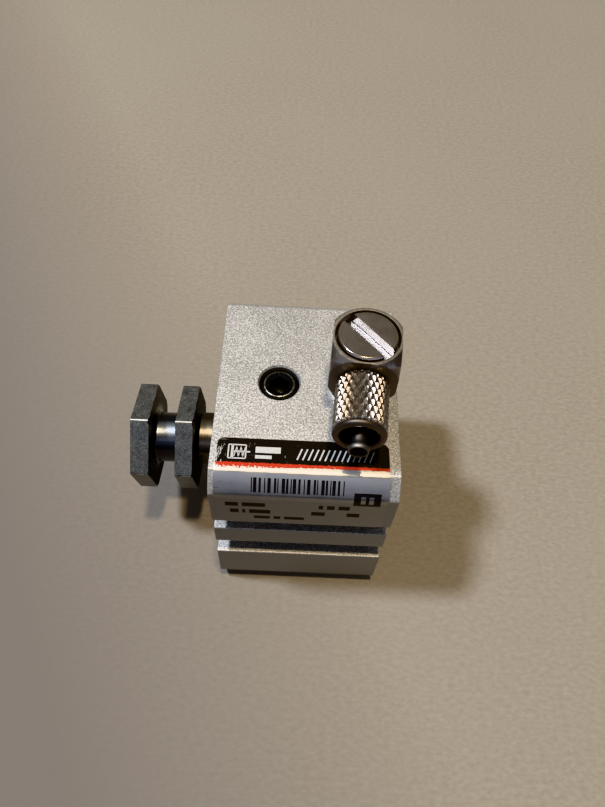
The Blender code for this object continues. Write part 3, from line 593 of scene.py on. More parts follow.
def body_outline():
    """The extrusion's section, anticlockwise, with every corner slightly rounded."""
    slot_top = RIB_HALF + SLOT_WIDTH
    slot_floor = HALF - SLOT_DEPTH
    rib = HALF - RIB_RECESS
    half_flank = [(HALF, slot_top), (slot_floor, slot_top), (slot_floor, RIB_HALF), (rib, RIB_HALF)]
    painted_side_shade = [(y, -z) for y, z in half_flank] + list(reversed(half_flank))
    points = []
    for k in range(4):
        if k % 2 == 0:
            sign = 1 - k
            points += [(sign * y, sign * z) for y, z in painted_side_shade]
        points += arc(CORNER_RADIUS, k * QUARTER + CORNER_TURN, (k + 1) * QUARTER - CORNER_TURN, 10)
    return softened(points, 0.22 * MM, 4)


def threaded(pitch, major, minor):
    """A radius function for an internal thread. Points beyond its crests or roots stay where they are."""

    def shape(distance, radius, angle):
        if radius < minor:
            return radius
        phase = (distance / pitch + angle / TURN) % 1.0
        crest = abs(2 * phase - 1)
        depth = min(1.0, max(0.0, 1.35 * crest - 0.15))
        return minor + (major - minor) * depth if radius <= major else radius

    return shape


def bolt_cut(axis):
    """One end of a corner hole: a countersink, 7 mm of M4 thread, and a plain half of the through hole."""
    major, minor, pitch = 2.02 * MM, 1.75 * MM, 0.7 * MM
    depth, middle = 7.0 * MM, BODY_LENGTH / 2 + 0.02 * MM
    plain = minor - 0.001 * MM
    profile = mm((-0.5, 0), (-0.5, 2.75), (0.25, 2.03))
    profile += [(d, 2.0 * MM) for d in spaced(0.3 * MM, depth, 80)]
    profile += [(depth + 0.3 * MM, plain), (middle, plain), (middle, 0)]
    return turned(axis, profile, 32, threaded(pitch, major, minor))


def bore_cut():
    """The stepped bore with its ring groove, from the rod end to the head wall."""
    mouth, seat, groove, bore, wall = 9.0, 8.7, 9.2, 8.0, 18.2
    profile = mm(
        *((-1, 0), (-1, mouth), (0, mouth), (0.3, seat), (0.9, seat), (0.9, groove), (1.9, groove)),
        *((1.9, seat), (5.0, seat), (5.0, bore), (wall, bore), (wall, 0)),
    )
    return turned(ROD_AXIS, profile, 144)


def port_cut(axis, passage_shift=0.0):
    """A port: a countersunk M5 hole, and a passage into the bore."""
    thread, rim, depth = 2.5, 2.68, 4.8
    hole = mm(
        *((-depth, 0), (-depth, 2.3), (-depth + 0.2, 2.45), (-0.24, thread), (0, rim), (0.5, rim), (0.5, 0))
    )
    passage_axis = Axis(axis.at + X_DIR * passage_shift, Z_DIR, X_DIR, Y_DIR)
    return turned(axis, hole, 72), drill(passage_axis, 6.5 - HALF / MM, -depth + 0.3, 0.8, 20, 0.13)


def make_body(material):
    """The body: an extrusion with rounded ends, its bore, its corner holes and its two ports."""
    edge = 0.10 * MM
    corner = [(edge * (1 - math.cos(t)), edge * (1 - math.sin(t))) for t in spaced(0, QUARTER, 4)]
    stations = [(ROD_END_X + x, inset) for x, inset in corner]
    stations += [(BODY_HIGH.x - x, inset) for x, inset in reversed(corner)]
    bolts = [Vector((0, y, z)) for y in (-BOLT_OFFSET, BOLT_OFFSET) for z in (-BOLT_OFFSET, BOLT_OFFSET)]
    ends = [merged([bolt_cut(axis.moved(bolt)) for bolt in bolts]) for axis in (ROD_AXIS, HEAD_AXIS)]
    cuts = [bore_cut(), *ends, *port_cut(PLUG_AXIS), *port_cut(SCREW_AXIS, 0.05 * MM)]
    bm = carved(extruded(body_outline(), stations), cuts)
    finished("body_extrusion", bm, "cylinder", material, "cylinder_body", 28)


def make_bore_parts(aluminium, rubber, phosphate, wire):
    """The collar, its gasket and seal, the snap ring and the return spring."""
    hole, seal_bore, seat, spigot, groove = 4.08, 5.38, 8.62, 7.92, 6.9
    profile = mm(
        *((2.0, seal_bore), (2.0, 6.1), (2.25, 6.25), (2.25, 7.0), (2.0, 7.15), (2.0, seat), (2.7, seat)),
        *((2.7, groove), (3.9, groove), (3.9, seat), (4.95, seat), (4.95, spigot), (6.4, spigot), (6.4, 7.3)),
        *((4.9, 7.3), (4.9, 5.9), (6.4, 5.9), (6.4, hole), (4.3, hole), (4.3, seal_bore)),
    )
    bm = turned(ROD_AXIS, softened(profile, 0.1 * MM), 128)
    finished("collar_turned", bm, "cylinder", aluminium, "collar")

    ring = [(3.3 + 0.5 * math.cos(t), 7.8 + 0.8 * math.sin(t)) for t in spaced(0, TURN, 20)[:-1]]
    bm = turned(ROD_AXIS, mm(*ring), 128)
    finished("tube_gasket_moulded", bm, "cylinder", rubber, "tube_gasket", 60)

    profile = mm(
        *((2.1, 5.33), (4.25, 5.33), (4.25, 4.33), (2.7, 4.33), (2.2, hole), (2.1, 4.18)),
        *((2.35, 4.55), (2.35, 4.9), (2.1, 5.1)),
    )
    bm = turned(ROD_AXIS, softened(profile, 0.08 * MM), 96)
    finished("rod_seal_moulded", bm, "cylinder", rubber, "rod_seal", 50)
    make_snap_ring(phosphate)
    make_spring(wire)


def make_snap_ring(material):
    """An internal snap ring, thinner towards its eared ends, with a plier hole in each ear."""
    low, high, edge = ROD_END_X + 0.95 * MM, ROD_END_X + 1.85 * MM, 0.07 * MM
    outer, ear_radius, hole_radius = 9.15 * MM, 6.3 * MM, 7.15 * MM
    gap, ear, blend = math.radians(24), math.radians(9), math.radians(7)
    sweep = TURN - 2 * gap
    begin = gap - QUARTER
    steps = 220
    inside = []
    for k in range(steps, -1, -1):
        share = k / steps
        from_end = min(share, 1 - share) * sweep
        radius = 7.5 * MM + 0.3 * MM * math.cos(TURN * share)
        if from_end < ear + blend:
            lobe = max(0.0, 1 - (max(0.0, from_end - ear) / blend) ** 2)
            radius -= (radius - ear_radius) * math.sqrt(lobe)
        inside += around(radius, [begin + sweep * share])
    outline = arc(outer, begin, begin + sweep, steps) + inside
    ears = around(hole_radius, [sign * (gap + ear) - QUARTER for sign in (-1, 1)])
    holes = merged([drill(ROD_AXIS.moved(Vector((0, y, z))), 0, 3, 0.52, 32) for y, z in ears])
    bm = carved(extruded(outline, ((low, edge), (low + edge, 0), (high - edge, 0), (high, edge))), [holes])
    finished("snap_ring", bm, "cylinder", material, "retaining_ring", 30)


def make_spring(material):
    """A compression spring with a closed turn at each end."""
    low_box, high_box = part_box("return_spring")
    wire, mean = 0.45 * MM, 6.6 * MM
    open_turns = 2.5
    turns = open_turns + 2
    steps, sides = 64, 18
    low, high = low_box.x + wire, high_box.x - wire
    closed_rise = 2 * wire + 0.02 * MM
    open_rise = (high - low - 2 * closed_rise) / open_turns
    rings = []
    for step in range(int(turns * steps) + 1):
        turn = step / steps
        along = low + closed_rise * min(turn, 1.0) + open_rise * min(max(turn - 1, 0), open_turns)
        along += closed_rise * max(turn - 1 - open_turns, 0)
        outward = math.cos(TURN * turn) * Y_DIR + math.sin(TURN * turn) * Z_DIR
        centre = X_DIR * along + mean * outward
        rings.append([centre + a * outward + b * X_DIR for a, b in arc(wire, 0, TURN, sides)[:-1]])
    bm = lofted(rings)
    spring = finished("spring_coil", bm, "cylinder", material, "return_spring", 60, False)
    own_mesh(spring)


def make_piston(aluminium, rubber, rod_material):
    """The piston, its U-cup and the rod with its two wrench flats."""
    outer, hole, front, back = 7.9, 3.05, 11.9, 17.4
    profile = mm(
        *((front, hole), (front, 5.9), (14.4, 5.9), (14.4, 7.3), (front, 7.3), (front, outer), (14.9, outer)),
        *((14.9, 6.1), (16.7, 6.1), (16.7, outer), (back, outer), (back, hole)),
    )
    bm = turned(ROD_AXIS, softened(profile, 0.1 * MM), 128)
    finished("piston_turned", bm, "rod", aluminium, "piston")

    inner = 6.18
    profile = mm(
        *((15.0, inner), (15.0, 7.62), (16.3, 7.92), (16.6, 7.82), (15.9, 7.2), (16.6, 6.6), (16.6, inner))
    )
    bm = turned(ROD_AXIS, softened(profile, 0.12 * MM), 128)
    finished("piston_cup_moulded", bm, "piston_slide", rubber, "piston_seal", 50)

    radius, screw, spigot, flats_end = 4.0, 2.0, 3.0, -0.2
    flat_half, flat_angle = 3.0 * MM, math.radians(14.3)
    step = 0.02
    profile = mm(
        *((4.0, 0), (4.0, 1.9), (3.7, screw), (-3.2, screw), (-3.5, 2.25), (-3.5, 3.55), (-3.42, 3.68)),
        (-3.1, radius),
        *((d, radius) for d in spaced(-3.0, flats_end - step, 6)),
        *((flats_end + step, radius + 0.001), (11.8, radius + 0.001), (11.85, 3.95), (11.85, spigot)),
        *((17.55, spigot), (17.65, 2.8), (17.65, 0)),
    )

    def with_flats(distance, here, angle):
        if distance > flats_end * MM or here < 2.6 * MM:
            return min(here, radius * MM)
        across = abs(math.cos(angle - flat_angle))
        return min(here, flat_half / across) if across > 0.01 else here

    bm = turned(ROD_AXIS, profile, 360, with_flats)
    finished("rod_polished", bm, "rod", rod_material, "piston_rod", 24)


def make_coupling(material):
    """Two hexagons, chamfered towards the body, and a polished neck, turned from one hexagonal bar."""
    across = 12.9 * MM
    sixth = TURN / 6
    phase = math.radians(44.3)
    corner = across / math.sqrt(3)
    slope, chamfer, edge = 0.58, 0.2 * MM, 0.07 * MM
    outer, inner = (-11.8 * MM, -9.35 * MM), (-5.95 * MM, -3.6 * MM)
    bar_radius, face_radius, shoulder = 9 * MM, 6.0 * MM, 5.0 * MM
    neck, fillet, stud = 3.45 * MM, 0.5 * MM, 1.9 * MM
    chamfer_start, rim_width, near = 0.36 * MM, 0.05 * MM, 0.01 * MM

    def near_corner(angle, width):
        turn = (angle - phase) % sixth
        from_corner = min(turn, sixth - turn)
        return from_corner, math.exp(-((from_corner / width) ** 2))

    def layers(distance, angle):
        """The bar's radius, the chamfer cone's radius, and the depth inside the nearer face."""
        from_corner, sharp = near_corner(angle, 0.010)
        flat = across / 2 / math.cos(sixth / 2 - from_corner) - 0.045 * MM * sharp
        low, high = outer if distance < -7 * MM else inner
        cone = corner - chamfer / slope + (high - distance) / slope
        return flat, cone, max(0.0, min(distance - low, high - distance))

    def shape(distance, radius, angle):
        if radius < bar_radius:
            return radius
        flat, cone, inside = layers(distance, angle)
        rounding = edge - math.sqrt(edge**2 - (edge - inside) ** 2) if inside < edge else 0.0
        return min(flat, cone) - rounding

    def wear(distance, radius, angle):
        if radius <= face_radius + 0.001 * MM:
            return 0.0
        flat, cone, inside = layers(distance, angle)
        rim = 0.55 * math.exp(-((inside / rim_width) ** 2))
        return max(near_corner(angle, 0.011)[1], rim, 0.8 * math.exp(-((abs(cone - flat) / rim_width) ** 2)))

    # The polished neck, which the material makes glossier and paints with a highlight.
    def polish_and_painted_sheen(point):
        between = outer[1] - near < point.x - ROD_END_X < inner[0] + near
        return 1.0 if between and math.hypot(point.y, point.z) < neck + fillet + near else 0.0

    def turned_face(point):
        from_end = point.x - ROD_END_X
        if from_end < outer[0] + near:
            return 0.4
        flat, cone, inside = layers(from_end, math.atan2(point.z, point.y))
        on_cone = cone < flat - near / 2 or inside < 2 * near
        return 1.0 if on_cone or math.hypot(point.y, point.z) <= face_radius + near else 0.0

    def flange(low, high):
        """Stations across one hexagon, closer together at both faces."""
        rounding = [edge * (1 - math.cos(t)) for t in spaced(0, QUARTER, 5)]
        middle = spaced(low + edge, high - chamfer_start, 8)[1:-1]
        cone_part = spaced(high - chamfer_start, high - edge, 12)[:-1]
        stations = [low + d for d in rounding] + middle + cone_part + [high - d for d in reversed(rounding)]
        return [(station, bar_radius) for station in stations]

    curve = [(fillet * (1 - math.cos(t)), neck + fillet * (1 - math.sin(t))) for t in spaced(0, QUARTER, 8)]
    profile = [(outer[0], r) for r in (0, 1.5 * MM, 3.0 * MM, 4.5 * MM, face_radius)]
    profile += flange(*outer) + [(outer[1], face_radius), (outer[1], shoulder)]
    profile += [(outer[1] + d, r) for d, r in curve] + [(inner[0] - d, r) for d, r in reversed(curve)]
    profile += [(inner[0], shoulder), (inner[0], face_radius)] + flange(*inner)
    profile += [(inner[1], face_radius), (inner[1], stud)]
    profile += [(2.4 * MM, stud), (2.8 * MM, 1.5 * MM), (2.8 * MM, 0)]
    bm = turned(ROD_AXIS, profile, 432, shape, phase, wear)
    painted(bm, "polish_and_painted_sheen", polish_and_painted_sheen)
    painted(bm, "turned_face", turned_face)
    finished("hex_coupling", bm, "rod", material, "rod_coupling", 38)


def make_plug(material):
    """The breathing plug: a socket screw below the port's rim, its socket pierced by a fine orifice."""
    radius, top, sink_radius = 2.42, -0.35, 1.68
    corner = 2.5 / math.sqrt(3)
    profile = mm(
        *((-4.5, 0), (-4.5, radius - 0.3), (-4.2, radius), (top - 0.42, radius), (top - 0.34, radius - 0.06)),
        *((top - 0.06, 1.93), (top - 0.02, 1.88), (top, 1.80), (top, 0)),
    )
    sink = mm(
        *((top - 0.4, 0), (top - 0.4, corner - 0.14), (top, sink_radius), (0.1, sink_radius), (0.1, 0))
    )
    cone = mm((top - 2.35, 0), (top - 1.9, 1.2), (top - 1.5, 0))
    hexagon = softened(arc(corner * MM, QUARTER, QUARTER + TURN, 6)[:-1], 0.06 * MM)
    walls = [[PLUG_AXIS.at + Vector((x, y, z * MM)) for x, y in hexagon] for z in (top - 2.0, 0.5)]
    cuts = [turned(PLUG_AXIS, sink, 48), lofted(walls), turned(PLUG_AXIS, cone, 48, start=0.03)]
    bm = carved(turned(PLUG_AXIS, profile, 96), [*cuts, drill(PLUG_AXIS, -6, -1, 0.3, 16)])

    def wear(point):
        offset = point - PLUG_AXIS.at
        on_rim = abs(math.hypot(offset.x, offset.y) - 1.86 * MM) < 0.17 * MM
        return 1.0 if on_rim and offset.z > (top - 0.05) * MM else 0.0

    painted(bm, "wear", wear)
    finished("breather_plug", bm, "cylinder", material, "orifice_plug", 30)


# -------------------- the nameplate

PLATE_LOW, PLATE_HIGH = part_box("nameplate")
PLATE_GAP = 0.03 * MM
PLATE_THICK = 0.12 * MM
PLATE_CORNER = 1.0 * MM
PLATE_SAG = 0.03 * MM
PLATE_ROLL = 0.12 * MM
INK_STEP = 0.15
INK_SUNK = 0.004 * MM
INK_THICK = 0.012 * MM
PLATE_TOP_Y = PLATE_HIGH.y
PLATE_WIDTH = PLATE_HIGH.x - PLATE_LOW.x


def plate_path():
    """The line the nameplate follows round the corner, as close points, from its top edge downwards."""
    start, end, near = QUARTER + CORNER_TURN, 2 * QUARTER - CORNER_TURN, math.radians(2.0)
    points = [(PLATE_TOP_Y, HALF + PLATE_GAP)]
    points += around(CORNER_RADIUS + PLATE_GAP, [start, *spaced(start + near, end - near, 8), end])
    points += [(-HALF - PLATE_GAP, PLATE_LOW.z)]
    points = softened(points, 0.9 * MM, 10, closed=False)
    lengths = [0.0]
    for a, b in zip(points, points[1:]):
        lengths.append(lengths[-1] + math.dist(a, b))
    return points, lengths


PLATE_POINTS, PLATE_LENGTHS = plate_path()
PLATE_HEIGHT = PLATE_LENGTHS[-1]


def on_plate(across, down, lift):
    """A point above the nameplate's back: across from its left edge, down from its top edge."""
    down = min(max(down, 0.0), PLATE_HEIGHT)
    i = 0
    while i < len(PLATE_LENGTHS) - 2 and PLATE_LENGTHS[i + 1] < down:
        i += 1
    a, b = Vector(PLATE_POINTS[i]), Vector(PLATE_POINTS[i + 1])
    share = (down - PLATE_LENGTHS[i]) / (PLATE_LENGTHS[i + 1] - PLATE_LENGTHS[i])

    def normal_at(index):
        first = Vector(PLATE_POINTS[max(index - 1, 0)])
        last = Vector(PLATE_POINTS[min(index + 1, len(PLATE_POINTS) - 1)])
        along = (last - first).normalized()
        return Vector((along.y, -along.x))

    normal = (normal_at(i) * (1 - share) + normal_at(i + 1) * share).normalized()
    if normal.x > 0 or normal.y < -0.2:
        normal = -normal
    point = a + (b - a) * share + normal * lift
    return Vector((PLATE_LOW.x + across, point.x, point.y))


def plate_span(down):
    """Where the nameplate starts and ends across at this height, with its rounded corners."""
    from_end = min(down, PLATE_HEIGHT - down)
    if from_end >= PLATE_CORNER:
        return 0.0, PLATE_WIDTH
    short = PLATE_CORNER - math.sqrt(max(0.0, PLATE_CORNER**2 - (PLATE_CORNER - from_end) ** 2))
    return short, PLATE_WIDTH - short


def make_plate(material, ink_light, ink_dark):
    """The foil as a thin closed sheet, and its print as ink just proud of it."""
    near = [PLATE_CORNER * (1 - math.cos(t)) for t in spaced(0, QUARTER, 10)]
    middle = spaced(PLATE_CORNER, PLATE_HEIGHT - PLATE_CORNER, 90)[1:-1]
    rows = near + middle + [PLATE_HEIGHT - d for d in reversed(near)]
    columns = 60
    bm = bmesh.new()
    uv = bm.loops.layers.uv.new("plate")
    layers = []
    flat = {}
    for lift in (0.0, PLATE_THICK):
        grid = []
        for down in rows:
            left, right = plate_span(down)
            line = []
            for across in spaced(left, right, columns):
                edge = min(across - left, right - across, down, PLATE_HEIGHT - down)
                sag = PLATE_SAG * max(0.0, 1 - edge / PLATE_ROLL) if lift else 0.0
                vert = bm.verts.new(on_plate(across, down, lift - sag))
                flat[vert] = (across / MM, down / MM)
                line.append(vert)
            grid.append(line)
        layers.append(grid)
    back, front = layers
    for i in range(len(rows) - 1):
        for k in range(columns):
            for grid in layers:
                bm.faces.new((grid[i][k], grid[i][k + 1], grid[i + 1][k + 1], grid[i + 1][k]))
    rim = [(0, k) for k in range(columns)]
    rim += [(i, columns) for i in range(len(rows) - 1)]
    rim += [(len(rows) - 1, k) for k in range(columns, 0, -1)]
    rim += [(i, 0) for i in range(len(rows) - 1, 0, -1)]
    for (i, k), (j, m) in zip(rim, rim[1:] + rim[:1]):
        bm.faces.new((back[i][k], back[j][m], front[j][m], front[i][k]))
    for face in bm.faces:
        for loop in face.loops:
            loop[uv].uv = flat[loop.vert]
    finished("nameplate_foil", bm, "cylinder", material, "nameplate", 40, False)
    make_print(ink_light, ink_dark)


def ink_slab(bm, corners):
    """One printed patch: a thin slab over a four-cornered area of the nameplate, given in millimetres."""
    low = min(corner[1] for corner in corners)
    high = max(corner[1] for corner in corners)
    steps = max(1, round((high - low) / INK_STEP))
    under = PLATE_THICK - INK_SUNK
    over = under + INK_THICK
    a, b, c, d = corners
    rings = []
    for t in spaced(0, 1, steps):
        left = (a[0] + (d[0] - a[0]) * t, a[1] + (d[1] - a[1]) * t)
        right = (b[0] + (c[0] - b[0]) * t, b[1] + (c[1] - b[1]) * t)
        ring = ((left, under), (right, under), (right, over), (left, over))
        rings.append([on_plate(across * MM, down * MM, lift) for (across, down), lift in ring])
    lofted(rings, bm)


def block(bm, left, top, width, height):
    ink_slab(bm, [(left, top), (left + width, top), (left + width, top + height), (left, top + height)])


def stroke(bm, start, end, width):
    """A straight printed line."""
    first, last = Vector(start), Vector(end)
    along = last - first
    side = Vector((-along.y, along.x)).normalized() * width / 2
    main = 0 if abs(along.x) > abs(along.y) else 1
    if along[main] <= 0:
        first, last = last, first
    if side[1 - main] >= 0:
        side = -side
    corners = [first + side, last + side, last - side, first - side]
    if main == 1:
        corners = [first + side, first - side, last - side, last + side]
    ink_slab(bm, [(p.x, p.y) for p in corners])


def make_print(ink_light, ink_dark):
    """A spring-return cylinder's symbol, a hatched strip, a bar code, and plain bars for the lettering."""
    bm = bmesh.new()
    line = 0.17
    left, top, wide, tall = 1.5, 0.95, 2.0, 1.75
    right, low, middle = left + wide, top + tall, top + tall / 2
    piston = left + 0.45
    corners = [(left, top), (right, top), (right, low), (left, low)]
    for start, end in ((0, 1), (3, 2), (0, 3), (1, 2)):
        stroke(bm, corners[start], corners[end], line)
    stroke(bm, (piston, top), (piston, low), 0.3)
    stroke(bm, (piston, middle), (right + 0.5, middle), 0.2)
    coils, coil_inset = 5, 0.22
    pitch = (wide - 0.75) / coils
    ends = (low - coil_inset, top + coil_inset)
    for k in range(coils):
        across = left + 0.68 + pitch * k
        stroke(bm, (across, ends[k % 2]), (across + pitch, ends[1 - k % 2]), 0.1)
    block(bm, 4.6, 1.1, 2.9, 0.8)
    block(bm, 4.6, 2.2, 1.9, 0.45)
    for k in range(14):
        across = 9.4 + 0.64 * k
        stroke(bm, (across, 2.6), (across + 0.55, 1.15), 0.18)
    finished("plate_print_light", bm, "cylinder", ink_light, None, 30, False)

    bm = bmesh.new()
    bar_code(bm, 4.3, 4.85, 10.9, 1.75)
    gap = 0.45
    rows_of_bars = (
        (1.3, 8.55, 0.95, (1.5, 2.7)),
        (12.2, 8.55, 0.95, (0.5, 0.9, 1.3)),
        (1.8, 10.35, 0.95, (1.0, 0.35, 2.5)),
        (11.4, 10.35, 0.95, (1.6,)),
        (15.6, 10.35, 0.95, (1.5,)),
        (4.6, 12.05, 0.7, (1.9, 0.8, 2.4)),
    )
    for across, down, tall, widths in rows_of_bars:
        for width in widths:
            block(bm, across, down, width, tall)
            across += width + gap
    box_left, box_top, box_wide, box_tall, line = 16.1, 6.2, 3.1, 1.95, 0.42
    frame_box(bm, box_left, box_top, box_wide, box_tall, line)
    for k in range(3):
        block(bm, box_left + line + 0.94 * k, box_top + 0.4, 0.38, box_tall - 0.8)
    finished("plate_print_dark", bm, "cylinder", ink_dark, None, 30, False)


def frame_box(bm, left, top, width, height, line):
    """A printed rectangle, open in the middle."""
    block(bm, left, top, width, line)
    block(bm, left, top + height - line, width, line)
    block(bm, left, top + line, line, height - 2 * line)
    block(bm, left + width - line, top + line, line, height - 2 * line)


def bar_code(bm, left, top, width, height):
    """Upright bars of one to three units, which stand for nothing."""
    unit = 0.125
    across = left
    k = 0
    while across < left + width - 3 * unit:
        bar = (1 + (k * 5) % 3) * unit
        block(bm, across, top, bar, height)
        across += bar + (1 + (k * 7 + k // 3) % 3) * unit
        k += 1


def foil_finish():
    """Silver foil with a black band at the top and a worn red line under it, placed by the plate's UV map.

    Painted light on the silver: a highlight just below the top bend and shade on the lower flat.
    """
    f = Finish("nameplate_foil", Metallic=1.0, Specular_IOR_Level=0.12)
    spot = f.parts(f.node("UVMap", {"uv_map": "plate"}).outputs["UV"])
    across, down = spot["X"], spot["Y"]
    ragged = f.grain(3.5, 4.0, 0.7)
    upright = f.grain(2.6, 3.0, 0.7, (2.2, 0.35, 0.35))
    fine = f.grain(9.0, 2.0, 0.6)
    cloud = f.grain(0.4, 3.0, 0.6)
    scratch = f.grain(1.1, 3.0, 0.7, (0.25, 1.6, 2.2))
    band_low = 3.2

    def above(value, limit):
        return f.math("GREATER_THAN", value, limit)

    def below(value, limit):
        return f.math("LESS_THAN", value, limit)

    shift = f.span(ragged, 0.3, 0.7, -0.07, 0.07)
    line = f.plus(down, shift)
    chipped = above(f.plus(f.times(f.span(across, 0.1, 1.6, 1.0, 0.0), 0.20), upright), 0.70)
    worn = above(f.plus(ragged, f.span(down, 3.45, 3.9, 0.0, 0.24)), 0.67)
    inside = f.times(above(f.plus(across, f.times(shift, 1.6)), 0.16), below(across, PLATE_WIDTH / MM - 0.08))
    band = f.times(below(line, band_low), above(down, 0.05), inside, f.math("SUBTRACT", 1.0, chipped))
    in_line = f.times(above(line, band_low), below(line, f.span(across, 3.0, 12.5, 3.90, 3.56)))
    red = f.times(in_line, inside, f.math("SUBTRACT", 1.0, worn))
    silver = f.mix(f.span(cloud, 0.3, 0.7), (0.46, 0.47, 0.485), (0.54, 0.545, 0.55))
    silver = f.mix(f.span(fine, 0.6, 0.75, 0.0, 0.35), silver, (0.9, 0.89, 0.86))
    # Painted highlight: the silver is lighter just below the top bend, fading downwards.
    silver = f.mix(f.span(down, 3.9, 5.8, 0.75, 0.0), silver, (0.88, 0.88, 0.88))
    # Painted shade: the silver darkens on the lower, flat part.
    silver = f.mix(f.span(down, 6.2, 7.9, 0.0, 0.82), silver, (0.20, 0.20, 0.205))
    black = f.mix(f.span(fine, 0.35, 0.7), (0.009, 0.008, 0.008), (0.022, 0.020, 0.018))
    tone = f.mix(red, f.mix(band, silver, black), (0.52, 0.062, 0.038))
    marks = f.times(f.span(scratch, 0.64, 0.70), f.span(across, 0.3, 3.0, 1.0, 0.2), 0.7)
    return f.done(
        f.mix(marks, tone, (0.16, 0.15, 0.14)),
        f.span(f.plus(fine, cloud), 0.7, 1.3, 0.28, 0.40),
        f.bump(f.plus(fine, f.times(cloud, 2.0)), 0.12, 0.01),
        Metallic=f.math("SUBTRACT", 1.0, f.math("MAXIMUM", band, red)),
    )


# -------------------- the elbow fitting

KNURL_COUNT = 24
KNURL_LENGTH = 1.56 * MM
KNURL_DEPTH = 0.27 * MM
KNURL_CROWN = 1.5
NUT_RADIUS = 3.08 * MM


def make_elbow(material):
    """The elbow: a block with a round back, chamfered by turning about both its axes and bored along both."""
    half, front, back_radius = 3.875, 3.9, 4.35
    low, top, rim, wide = 1.0, 9.8, 4.05, 7.0
    drop = wide - rim
    axis = Axis(SCREW_AXIS.at, Z_DIR, OUTLET_SIDE, -OUTLET_DIR)
    turn = math.acos(half / back_radius)
    outline = mm((-half, -front), (half, -front)) + arc(back_radius * MM, turn, math.pi - turn, 48)
    levels = [axis.at + Z_DIR * height * MM for height in (low, top)]
    block_shape = lofted([[at + axis.side * x + axis.up * y for x, y in outline] for at in levels])
    envelope = mm((low, 0), (low, rim), (low + drop, wide), (top - drop, wide), (top, rim), (top, 0))
    back = -back_radius - 1
    nose = mm((back, 0), (back, wide), (front - drop, wide), (front, rim), (front, 0))
    hole, chamber, counterbore, floor, middle = 2.5, 2.95, 3.72, 7.7, OUTLET_HEIGHT / MM
    bore = mm(
        *((low - 1, 0), (low - 1, hole), (middle - 1.2, hole), (middle - 0.8, chamber)),
        *((middle + 0.8, chamber), (middle + 1.2, hole), (floor, hole), (floor, counterbore)),
        *((top + 1, counterbore), (top + 1, 0)),
    )
    cuts = [turned(axis, bore, 144, start=0.02), drill(OUTLET_AXIS, 1, front + 1, 1.6, 64, 0.02)]
    bm = carved(block_shape, cuts, [turned(axis, envelope, 160), turned(OUTLET_AXIS, nose, 160, start=0.01)])
    bm = bevelled(bm, 0.055 * MM, 3, 18)
    # Painted shade: the block's front face round the nut is darkened, as if the nut shaded it.
    face = (front - 0.02) * MM
    painted(bm, "painted_shade", lambda point: 0.66 if (point - OUTLET_AXIS.at).dot(OUTLET_DIR) > face else 0.0)
    finished("elbow_block", bm, "elbow", material, "elbow_body", 30)


def make_screw(material):
    """The hollow screw: a chamfered round head with a sawn slot, standing just proud of the elbow."""
    head, head_bottom, top, shank, bore, middle = 3.44, 8.4, 10.0, 2.42, 1.1, OUTLET_HEIGHT / MM
    profile = mm(
        *((-4.3, bore), (-4.3, shank - 0.3), (-4.0, shank), (head_bottom, shank), (head_bottom, head)),
        *((top - 0.22, head), (top, head - 0.22), (top, 0), (middle + 1.6, 0), (middle + 1.1, bore)),
    )
    angle = math.radians(-48)
    along = Vector((math.cos(angle), math.sin(angle), 0))
    across = Z_DIR.cross(along)
    side, depth = 0.75, 1.35
    section = mm((-side, top - depth), (side, top - depth), (side, top + 1), (-side, top + 1))
    section = softened(section, 0.1 * MM)
    ends = [SCREW_AXIS.at + along * reach * MM for reach in (-5, 5)]
    slot = lofted([[end + across * w + Z_DIR * z for w, z in section] for end in ends])
    cross = Axis(SCREW_AXIS.at + Z_DIR * OUTLET_HEIGHT, X_DIR, Y_DIR, Z_DIR)
    bm = turned(SCREW_AXIS, softened(profile, 0.06 * MM), 144)
    bm = bevelled(carved(bm, [slot, drill(cross, -4, 4, 0.8, 24, 0.05)]), 0.035 * MM, 2, 40)
    slot_low, slot_high = TOP_Z + (top - depth - 0.05) * MM, TOP_Z + (top - 0.3) * MM
    painted(bm, "sawn", lambda point: 1.0 if slot_low < point.z < slot_high else 0.0)
    finished("slotted_screw", bm, "cylinder", material, "hollow_screw", 30)


def make_washers(steel, rubber):
    """Bonded washers: a steel ring with a rubber bead inside it."""
    inner, bead_outer, bead_inner, lip = 3.2, 3.15, 2.75, 2.62
    for name, low, high, outer in (("lower", 0.05, 0.95, 3.9), ("upper", 7.75, 8.35, 3.44)):
        ring = mm((low, inner), (low, outer), (high, outer), (high, inner))
        bm = turned(SCREW_AXIS, softened(ring, 0.12 * MM), 128)
        finished(name + "_ring", bm, "cylinder", steel, name + "_washer")
        bead = mm(
            *((low, bead_inner), (low, bead_outer), (high, bead_outer), (high, bead_inner)),
            ((low + high) / 2, lip),
        )
        bm = turned(SCREW_AXIS, softened(bead, 0.1 * MM), 96)
        finished(name + "_bead", bm, "cylinder", rubber, name + "_washer_seal", 50)


